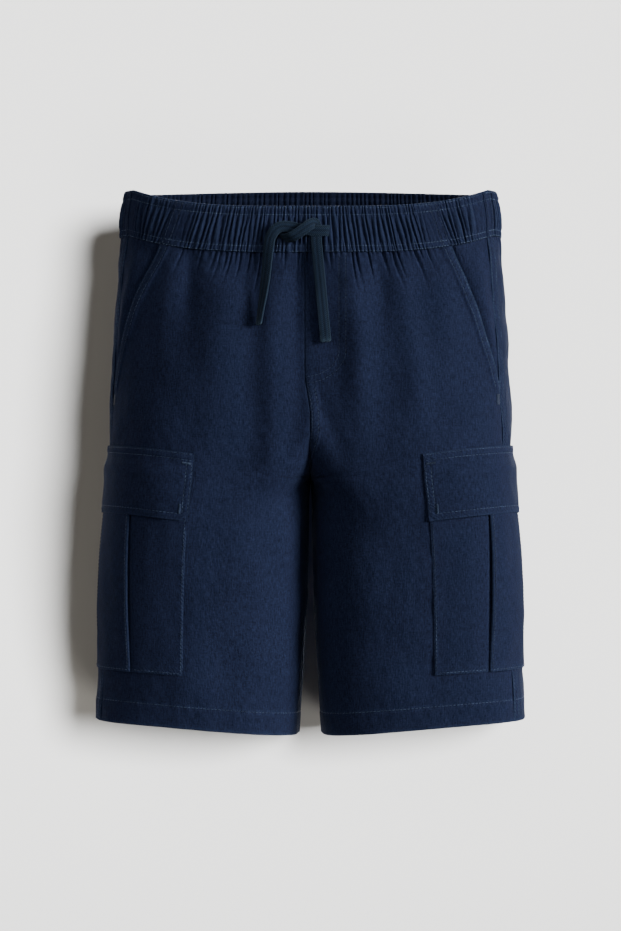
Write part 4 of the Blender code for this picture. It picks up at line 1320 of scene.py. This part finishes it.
@dataclass
class Drawcord:
    """The flat cord: two strands that leave the band, cross in a half knot and hang."""

    form: Form
    wide: float = 0.0090
    thick: float = 0.0022
    spacing: float = 0.0008

    # Each strand: distance from the centre front along the cloth, drop and lift over the form in
    # millimetres, and the turn of its flat face about its own length, in degrees.
    LEFT_TO_RIGHT = (
        (20, 20.8, -1.2, 0), (19, 20.8, 1.6, 0), (16, 21, 3.8, 0), (10, 21.2, 4.8, 0), (3, 20.8, 5, 0),
        (-4, 19.8, 5.2, 0), (-10.5, 18.6, 5.6, 0), (-16.5, 18, 6.4, -6), (-21.6, 18.8, 7, -10),
        (-25.2, 21.2, 7, -6), (-27.7, 24.4, 6.6, 6), (-29.6, 28.5, 5.8, 16), (-31.1, 37, 5.2, 24),
        (-32, 46, 5, 28), (-32.8, 56, 5, 32), (-33.8, 67, 5, 38), (-35, 78, 5, 46), (-36.5, 89, 4.8, 54),
        (-38, 100, 4.6, 60), (-39.5, 110.5, 4.4, 62),
    )
    RIGHT_TO_LEFT = (
        (-20, 26.2, -1.2, 60), (-18.8, 26.6, 1.4, 56), (-15.2, 27.2, 4.4, 44), (-10.8, 26.8, 7.6, 24),
        (-6, 24.4, 9.2, 6), (-1, 20.8, 9.6, 0), (3.4, 17.4, 8.8, 0), (6.6, 15.4, 6.2, 0),
        (8.4, 16, 3.2, 0), (8.8, 20.4, 1.8, 0), (8.8, 26.5, 3.4, 0), (9.6, 36, 4.2, 4),
        (10.5, 47, 4.2, 6), (11.4, 58, 4, 6), (12.3, 70, 4, 4), (13.1, 82, 4, 0), (13.9, 93.5, 3.8, -4),
        (14.7, 105, 3.6, -4), (15.5, 116, 3.4, 0), (16.2, 126.5, 3.2, 2),
    )

    def path(self, route: Table) -> tuple[Array, Array, Array]:
        """A route as close points on a smooth curve.

        Args:
            route: rows of distance, drop, lift and turn.

        Returns:
            The points, the turns there, and the distances along the cord.
        """
        across, drop, lift, turns = np.array(route).T
        knots = self.form.about_centre(Face.FRONT, MM * across, MM * drop, MM * lift)
        padded = np.concatenate([[2 * knots[0] - knots[1]], knots, [2 * knots[-1] - knots[-2]]])
        t = np.linspace(0, 1, 12, endpoint=False)
        curve = []
        for a, b, c, d in zip(padded, padded[1:], padded[2:], padded[3:]):
            bend, twist = 2 * a - 5 * b + 4 * c - d, 3 * b - a - 3 * c + d
            curve += [0.5 * (2 * b + (c - a) * s + bend * s**2 + twist * s**3) for s in t]
        curve = np.array([*curve, knots[-1]])
        turned = np.interp(np.arange(len(curve)) / len(t), np.arange(len(knots)), turns)
        along = travelled(curve)
        at = np.linspace(0, along[-1], int(along[-1] / self.spacing))
        return resampled(curve, at), np.interp(at, along, turned), at

    @staticmethod
    def widths(forward: Array) -> Array:
        """Which way the flat cord's width lies at each point, for a cord whose face looks forwards."""
        wide = np.cross(forward, np.array([0.0, -1.0, 0.0]))
        size = np.linalg.norm(wide, axis=1)
        # Where the cord comes straight out of the band its width follows from further on.
        for k in reversed(range(len(wide) - 1)):
            if size[k] < 0.45:
                wide[k] = unit(wide[k + 1])
        padded = np.concatenate([wide[:1]] * 4 + [wide] + [wide[-1:]] * 4)
        wide = np.stack([np.convolve(column, np.ones(9) / 9, mode="valid") for column in padded.T], axis=1)
        return unit(wide - forward * (wide * forward).sum(axis=1, keepdims=True))

    def strand(self, name: str, route: Table) -> tuple[Object, Array]:
        """One strand, a rounded flat section carried along its route, and its path."""
        points, turns, at = self.path(route)
        forward = unit(np.gradient(points, axis=0))
        around = np.linspace(0.0, math.tau, 28, endpoint=False)
        cosine, sine = np.cos(around), np.sin(around)
        section_x = np.sign(cosine) * np.abs(cosine) ** 0.45 * self.wide / 2
        section_y = np.sign(sine) * np.abs(sine) ** 0.60 * self.thick / 2
        bm = bmesh.new()
        cut, rubbed = bm.verts.layers.float_vector.new("cut"), bm.verts.layers.float.new("wear")
        ring = list(bmesh.ops.create_circle(bm, segments=len(around), radius=1.0, cap_ends=True)["verts"])
        for k, (point, way, wide, turn, along) in enumerate(zip(points, forward, self.widths(forward), turns, at)):
            turn = math.radians(float(turn))
            across = wide * math.cos(turn) + np.cross(way, wide) * math.sin(turn)
            over = np.cross(way, across)
            shut = 1 - 0.5 * float(edge_fold(min(along, at[-1] - along), 0.0010))
            if k:
                # A dict keeps the order, so that the mesh comes out the same every time.
                edges = dict.fromkeys(e for v in ring for e in v.link_edges if e.other_vert(v) in ring)
                fresh = set(fresh_vertices(bmesh.ops.extrude_edge_only(bm, edges=list(edges))))
                ring = [next(e.other_vert(v) for e in v.link_edges if e.other_vert(v) in fresh) for v in ring]
            for vertex, x, y in zip(ring, section_x, section_y):
                vertex.co = point + (across * x + over * y) * shut
                vertex[cut] = (x, along, 0.0)
                vertex[rubbed] = 0.3 * abs(x) / self.wide + 0.8 * math.exp(-(at[-1] - along) / 0.0018)
        bm.faces.new(ring)
        outward(bm)
        return solid(name, bm, 70.0), points

    def make(self, material: Material) -> None:
        """Adds both strands."""
        plans = (
            ("cord_to_right_tail", self.LEFT_TO_RIGHT, ("drawcord_knot", "drawcord_tail_right")),
            ("cord_to_left_tail", self.RIGHT_TO_LEFT, ("drawcord_tail_left",)),
        )
        for name, route, nodes in plans:
            obj, points = self.strand(name, route)
            dress(obj, material, nodes)
            length = float(travelled(points)[-1])
            [tuple(p) for p in points[::4]]
            log.info("%s: %.0f mm", name, length * 1000)


# ---------------------------------------------------------------- sewing
@dataclass
class Needlework:
    """Thread that lies on the cloth, gathered into one mesh."""

    name: str
    pitch: float = 0.0031
    stitch: float = 0.0025
    thick: float = 0.00048
    bar_pitch: float = 0.00042
    bar_thick: float = 0.00050
    bm: bmesh.types.BMesh = field(default_factory=bmesh.new)

    def __post_init__(self) -> None:
        """Makes one stitch, a small spindle along Z."""
        spindle = bmesh.new()
        bmesh.ops.create_uvsphere(spindle, u_segments=6, v_segments=4, radius=0.5)
        self.spindle = bpy.data.meshes.new("spindle")
        spindle.to_mesh(self.spindle)
        spindle.free()

    def lay(self, start: Array, end: Array, out: Array, thick: float) -> None:
        """Lays one stitch between two points, with out pointing away from the cloth."""
        run = Vector(end - start)
        if run.length < 1e-6:
            return
        forward = run.normalized()
        side = forward.cross(Vector(out).normalized()).normalized()
        turned = Matrix((side * thick, side.cross(forward) * thick, run * 1.04)).transposed().to_4x4()
        copy = self.spindle.copy()
        copy.transform(Matrix.Translation(Vector((start + end) / 2)) @ turned)
        self.bm.from_mesh(copy)
        bpy.data.meshes.remove(copy)

    def row(self, surface: Surface, away: Number, down: Number, lift: float = 0.00012) -> None:
        """A row of stitches along a path on a surface.

        Args:
            surface: where the cloth is.
            away: the path's distances along the cloth.
            down: the path's drops.
            lift: height of the thread's middle over the cloth.
        """
        away, down = np.broadcast_arrays(np.asarray(away, float), np.asarray(down, float))
        fine, knots = np.linspace(0, 1, 40 * len(away)), np.linspace(0, 1, len(away))
        away, down = np.interp(fine, knots, away), np.interp(fine, knots, down)
        along = travelled(surface(away, down, np.zeros(len(away))))
        count = int((along[-1] - self.stitch) / self.pitch) + 1
        if count < 1:
            return

        def points(at: Array, height: float) -> Array:
            """Points over the path at distances along it."""
            return surface(np.interp(at, along, away), np.interp(at, along, down), np.full(count, height))

        spare = (along[-1] - (count - 1) * self.pitch - self.stitch) / 2
        start = spare + np.arange(count) * self.pitch
        middle = start + self.stitch / 2
        out = points(middle, 0.001) - points(middle, 0.0)
        for ends in zip(points(start, lift), points(start + self.stitch, lift), out):
            self.lay(*ends, self.thick)

    def bartack(self, surface: Surface, away: Sequence[float], down: Sequence[float], wide: float = 0.0019) -> None:
        """A bar of close stitches that locks the end of an opening, from one place to another."""
        count = max(6, int(np.hypot(away[1] - away[0], down[1] - down[0]) / self.bar_pitch))
        middle, lifted = (
            surface(np.linspace(*away, count), np.linspace(*down, count), np.full(count, height))
            for height in (0.00030, 0.00130)
        )
        for point, out in zip(middle, lifted - middle):
            side = unit(np.cross(middle[-1] - middle[0], out)) * wide / 2
            self.lay(point - side, point + side, out, self.bar_thick)

    def finish(self, material: Material) -> None:
        """Adds the whole as one piece."""
        bpy.data.meshes.remove(self.spindle)
        dress(solid(self.name, self.bm), material)


@dataclass
class Sewing:
    """Every row of stitches and every bartack."""

    relief: Relief
    band: Waistband
    pockets: Sequence[CargoPocket]

    # How high the thread lies over the band and over the pocket bags.
    ON_BAND, ON_BAG = 0.00018, 0.00016

    def legs(self, work: Needlework) -> None:
        """The slanted openings, the side seams and the hems."""
        hem = CUT.length - CUT.hem
        for side in Side:
            front, back = (self.relief.surface(side, face) for face in Face)
            for gap in SEAM_ROWS:
                drops = np.linspace(CUT.band + 0.001, CUT.slant_ends - 0.001, 30)
                work.row(front, slant(drops) + gap, drops)
                for low, high in ((CUT.band + 0.001, 0.2095), (0.3975, CUT.length - 0.0015)):
                    work.row(back, gap + 0.0003, np.linspace(low, high, 20))
            for face, surface in zip(Face, (front, back)):
                work.row(surface, np.linspace(0.001, self.relief.form.length(side, face, hem) - 0.001, 40), hem)

    def cargo(self, work: Needlework) -> None:
        """The flaps and bags of the cargo pockets."""
        for pocket in self.pockets:
            flap, bag = pocket.flap_surface(), pocket.bag_surface()
            front, back, height = pocket.flap_front, pocket.flap_back, pocket.flap_bottom - pocket.flap_top
            for gap in (0.0013, 0.0060):
                work.row(flap, np.linspace(front - 0.001, back + 0.001, 40), gap)
            inset = 0.0056
            low = height - inset
            for gap in (0.0014, inset):
                for across in (front - gap, back + gap):
                    work.row(flap, across, np.linspace(0.0075, low, 12))
            work.row(flap, np.linspace(front - inset, back + inset, 40), low)
            work.bartack(flap, (front - 0.0020, front - 0.0090), (0.0085, 0.0085))
            work.bartack(flap, (back + 0.0020, back + 0.0090), (0.0085, 0.0085))
            work.bartack(flap, (front - 0.0076,) * 2, (height - 0.0060, height - 0.0135))
            first, last, end = pocket.bag_front - 0.0018, pocket.bag_back + 0.0018, pocket.bag_bottom - 0.0018
            for across in (first, last):
                work.row(bag, across, np.linspace(pocket.flap_bottom - 0.006, end, 30), self.ON_BAG)
            for ends in (
                (first, pocket.pleat_front + 0.0030), (pocket.pleat_front - 0.0020, pocket.pleat_back + 0.0020),
                (pocket.pleat_back - 0.0030, last),
            ):
                work.row(bag, np.linspace(*ends, 20), end, self.ON_BAG)

    def waist(self, work: Needlework) -> None:
        """Four rows round the waistband."""
        for key in GATHERS:
            surface = self.band.surface(key)
            for drop in self.band.ROWS_OF_STITCHES:
                work.row(surface, np.linspace(0.004, 0.996, 90), drop, self.ON_BAND)

    def quiet(self, work: Needlework) -> None:
        """The centre seams, the mock fly, the pleats, the openings' ends and the seams in the band."""
        form, top = self.relief.form, CUT.band + 0.001
        surfaces = {face: self.relief.surface(Side.LEFT, face) for face in Face}

        def beside_centre(face: Face, across: Number, drops: Array) -> None:
            """A row on a left panel at distances from the middle."""
            work.row(surfaces[face], form.length(Side.LEFT, face, drops) - across, drops)

        for gap in CENTRE_ROWS:
            beside_centre(Face.FRONT, gap, np.linspace(0.164, CUT.crotch - 0.004, 24))
            beside_centre(Face.BACK, gap, np.linspace(top, CUT.crotch - 0.004, 40))
            turn = np.linspace(0.0, math.pi / 2, 24)
            wide, turned = CUT.fly_width - gap, CUT.fly_turns + (CUT.fly_round - gap) * np.sin(turn)
            across = np.concatenate([np.full(14, wide), wide * np.cos(turn)])
            drops = np.concatenate([np.linspace(top, CUT.fly_turns, 14), turned])
            beside_centre(Face.FRONT, np.maximum(across, 0.0008), drops)
        # The rows beside the slanted openings and the side seams run on through the band.
        low, drops = CUT.slant_ends + 0.0040, np.linspace(0.001, CUT.band - 0.001, 12)
        for side in Side:
            work.bartack(self.relief.surface(side, Face.FRONT), (0.0034, 0.0034), (low, low + 0.0080), 0.0046)
            for gap in SEAM_ROWS:
                for face, inset in ((Face.FRONT, gap), (Face.BACK, gap + 0.0003)):
                    reach = form.length(side, face, drops) - opening(face, drops) - CUT.seam_gap / 2
                    share = 0.5 + side.value * (1 - inset / reach) / 2
                    work.row(self.band.surface(face.value), share, drops, self.ON_BAND)
        for pocket in self.pockets:
            bag, drops = pocket.bag_surface(), np.linspace(pocket.flap_bottom - 0.006, pocket.bag_bottom - 0.0018, 30)
            for across in (pocket.pleat_front - 0.0022, pocket.pleat_back + 0.0022):
                work.row(bag, across, drops, self.ON_BAG)


# ---------------------------------------------------------------- the studio
@dataclass
class Studio:
    """The camera, the light and the pale backdrop."""

    image: tuple[int, int] = (621, 931)
    metres_per_pixel: float = 0.00083
    distance: float = 2.2
    eye_z: float = -0.209
    sensor: float = 36.0
    wall_y: float = 0.097
    sweep: float = 0.76
    sweep_starts: float = -0.18
    wall_tone: float = 0.35
    floor_tone: float = 0.92
    wall_top: float = 2.2
    reach: float = 3.0
    dome_radius: float = 9.0
    dome_glow: float = 3.2
    pale: Colour = (0.74, 0.74, 0.74, 1.0)
    sky: Colour = (0.74, 0.745, 0.75, 1.0)
    sky_strength: float = 0.016

    # Azimuth in degrees, 0 from the front and 90 from the viewer's right, elevation, strength, how wide it
    # seems, what it lights, and its tint.
    SUNS = {
        "paper light": (27.0, 10.0, 23.4, 22.0, "paper", (1.0, 1.0, 1.0)),
        "paper fill": (-20.0, 30.0, 1.02, 60.0, "paper", (1.05, 0.97, 0.84)),
        "low paper light": (27.0, -28.0, 1.9, 24.0, "paper", (1.05, 1.0, 0.90)),
        "key": (62.0, 12.0, 9.2, 24.0, "garment", (1.0, 1.0, 1.0)),
        "front fill": (4.0, 25.0, 0.9, 50.0, "garment", (1.0, 1.0, 1.0)),
        "left fill": (-50.0, 10.0, 1.15, 60.0, "garment", (1.0, 1.0, 1.0)),
        "back key": (163.0, 32.0, 4.6, 16.0, "garment", (1.0, 1.0, 1.0)),
        "rear fill": (-172.0, 15.0, 1.0, 20.0, "garment", (1.0, 1.0, 1.0)),
    }

    def camera(self) -> None:
        """A level camera straight in front, framed by the size of a pixel at the middle plane."""
        data = bpy.data.cameras.new("camera")
        camera = bpy.data.objects.new("camera", data)
        bpy.context.scene.collection.objects.link(camera)
        data.sensor_width = self.sensor
        data.lens = self.sensor * self.distance / (self.image[1] * self.metres_per_pixel)
        data.clip_start, data.clip_end = 0.05, 50.0
        camera.location = (0.0, -self.distance, self.eye_z)
        camera.rotation_euler = (math.pi / 2, 0.0, 0.0)
        bpy.context.scene.camera = camera

    def paper(self) -> Material:
        """Pale matte paper that is clear from behind, so that the back of the shorts shows."""
        material, bench, shader = new_material("pale paper")
        tone, low = self.wall_tone, self.floor_tone
        grain = bench.noise(bench.node("TexCoord").outputs["Object"], 6.0, 2.0)
        shade = bench.mix(grain, (tone, tone, tone, 1.0), (tone * 1.015, tone * 1.015, tone * 1.01, 1.0))
        geometry = bench.node("NewGeometry").outputs
        upward = bench.node("SeparateXYZ", Vector=geometry["Normal"]).outputs[2]
        flat = bench.scaled(upward, 1 / 0.36, -0.64 / 0.36)
        colour = bench.mix(flat, shade, (low, low, low, 1.0))
        bench.fill(shader, Base_Color=colour, Roughness=1.0, Specular_IOR_Level=0.0)
        choice = bench.node("MixShader")
        behind = (geometry["Backfacing"], shader.outputs[0], bench.node("BsdfTransparent").outputs[0])
        for socket, value in zip(choice.inputs, behind):
            bench.give(socket, value)
        bench.fill(material.node_tree.nodes["Material Output"], Surface=choice.outputs[0])
        return material

    def backdrop(self) -> None:
        """A sheet that hangs behind the shorts and sweeps forwards under them into the floor."""
        bm = bmesh.new()
        places = [(self.wall_y, self.wall_top)]
        for angle in np.linspace(0.0, math.pi / 2, 40):
            y = self.wall_y - self.sweep * (1 - math.cos(angle))
            places.append((y, self.sweep_starts - self.sweep * math.sin(angle)))
        places.append((-self.reach, self.sweep_starts - self.sweep))
        line = [bm.verts.new((-self.reach, y, z)) for y, z in places]
        grown = bmesh.ops.extrude_edge_only(bm, edges=[bm.edges.new(pair) for pair in zip(line, line[1:])])
        bmesh.ops.translate(bm, verts=fresh_vertices(grown), vec=(2 * self.reach, 0.0, 0.0))
        bm.normal_update()
        if min(bm.faces, key=lambda f: abs(f.calc_center_median().z - 1.0)).normal.y > 0:
            bmesh.ops.reverse_faces(bm, faces=bm.faces[:])
        sheet = solid("backdrop", bm)
        sheet.visible_diffuse = False
        sheet.data.materials.append(self.paper())

    def surround(self) -> None:
        """A far pale dome behind every other side. It lights nothing and shades nothing."""
        material, bench, shader = new_material("pale surround")
        bench.fill(
            shader, Base_Color=(0.0, 0.0, 0.0, 1.0), Emission_Color=self.pale, Emission_Strength=self.dome_glow
        )
        bm = bmesh.new()
        bmesh.ops.create_uvsphere(bm, u_segments=32, v_segments=16, radius=self.dome_radius)
        bmesh.ops.reverse_faces(bm, faces=bm.faces[:])
        dome = solid("surround", bm)
        dome.data.shade_flat()
        dome.data.materials.append(material)
        for ray in ("visible_diffuse", "visible_glossy", "visible_shadow"):
            setattr(dome, ray, False)

    def lights(self) -> None:
        """A frontal light for the paper, and a key from the side with weak fills for the shorts."""
        groups = {name: bpy.data.collections.new(name) for name in ("paper", "garment")}
        for obj in bpy.data.objects:
            if obj.type == "MESH" and not obj.hide_render:
                groups["paper" if obj.name in ("backdrop", "surround") else "garment"].objects.link(obj)
        for name, (azimuth, elevation, energy, spread, lit, tint) in self.SUNS.items():
            data = bpy.data.lights.new(name, "SUN")
            data.color, data.energy, data.angle = tint, energy, math.radians(spread)
            lamp = bpy.data.objects.new(name, data)
            bpy.context.scene.collection.objects.link(lamp)
            a, e = math.radians(azimuth), math.radians(elevation)
            towards = Vector((math.sin(a) * math.cos(e), -math.cos(a) * math.cos(e), math.sin(e)))
            lamp.rotation_euler = towards.to_track_quat("Z", "Y").to_euler()
            lamp.light_linking.receiver_collection = groups[lit]
            lamp.light_linking.blocker_collection = groups["garment"]
        world = bpy.data.worlds.new("studio")
        world.use_nodes = True
        background = world.node_tree.nodes["Background"]
        Bench(world.node_tree).fill(background, Color=self.sky, Strength=self.sky_strength)
        bpy.context.scene.world = world


def main() -> None:
    """Builds every piece and attaches it to the root body."""
    logging.basicConfig(level=logging.INFO, format="%(name)s: %(message)s")
    studio = Studio()
    studio.camera()
    form = Form()
    cord = Braid(
        "braided cord", deep=(0.0004, 0.0014, 0.0036, 1.0), base=(0.0058, 0.0126, 0.0275, 1.0),
        worn=(0.040, 0.068, 0.095, 1.0),
    )
    Drawcord(form).make(cord.material())
    twill = Twill(
        "navy twill", deep=(0.0010, 0.0018, 0.0062, 1.0), base=(0.0110, 0.0158, 0.0400, 1.0),
        worn=(0.028, 0.045, 0.090, 1.0),
    ).material(weave_group(), wear_group(), roping_group())
    relief, band = Relief(form), Waistband(form)
    for side in Side:
        for face in Face:
            LegPanel(relief, side, face).make(twill)
        HipFacing(form, side).make(twill)
    band.make(twill)
    pockets = [CargoPocket(form, side) for side in Side]
    for pocket in pockets:
        pocket.make_bag(twill)
        pocket.make_flap(twill)
    sewing = Sewing(relief, band, pockets)
    thread = Thread("sewing thread", (0.008, 0.013, 0.028, 1.0), (0.031, 0.047, 0.084, 1.0)).material()
    pale = Thread("pale thread", (0.020, 0.030, 0.056, 1.0), (0.080, 0.112, 0.170, 1.0)).material()
    muted = Thread("muted thread", (0.005, 0.008, 0.018, 1.0), (0.018, 0.027, 0.052, 1.0)).material()
    for work, sew, material in (
        (Needlework("stitches_legs"), sewing.legs, thread),
        (Needlework("stitches_pockets"), sewing.cargo, thread),
        (Needlework("stitches_waistband", pitch=0.0026, stitch=0.0014, thick=0.00044), sewing.waist, pale),
        (Needlework("stitches_muted"), sewing.quiet, muted),
    ):
        sew(work)
        work.finish(material)
    studio.backdrop()
    studio.surround()
    studio.lights()
    bpy.context.view_layer.update()


if __name__ == "__main__":
    main()
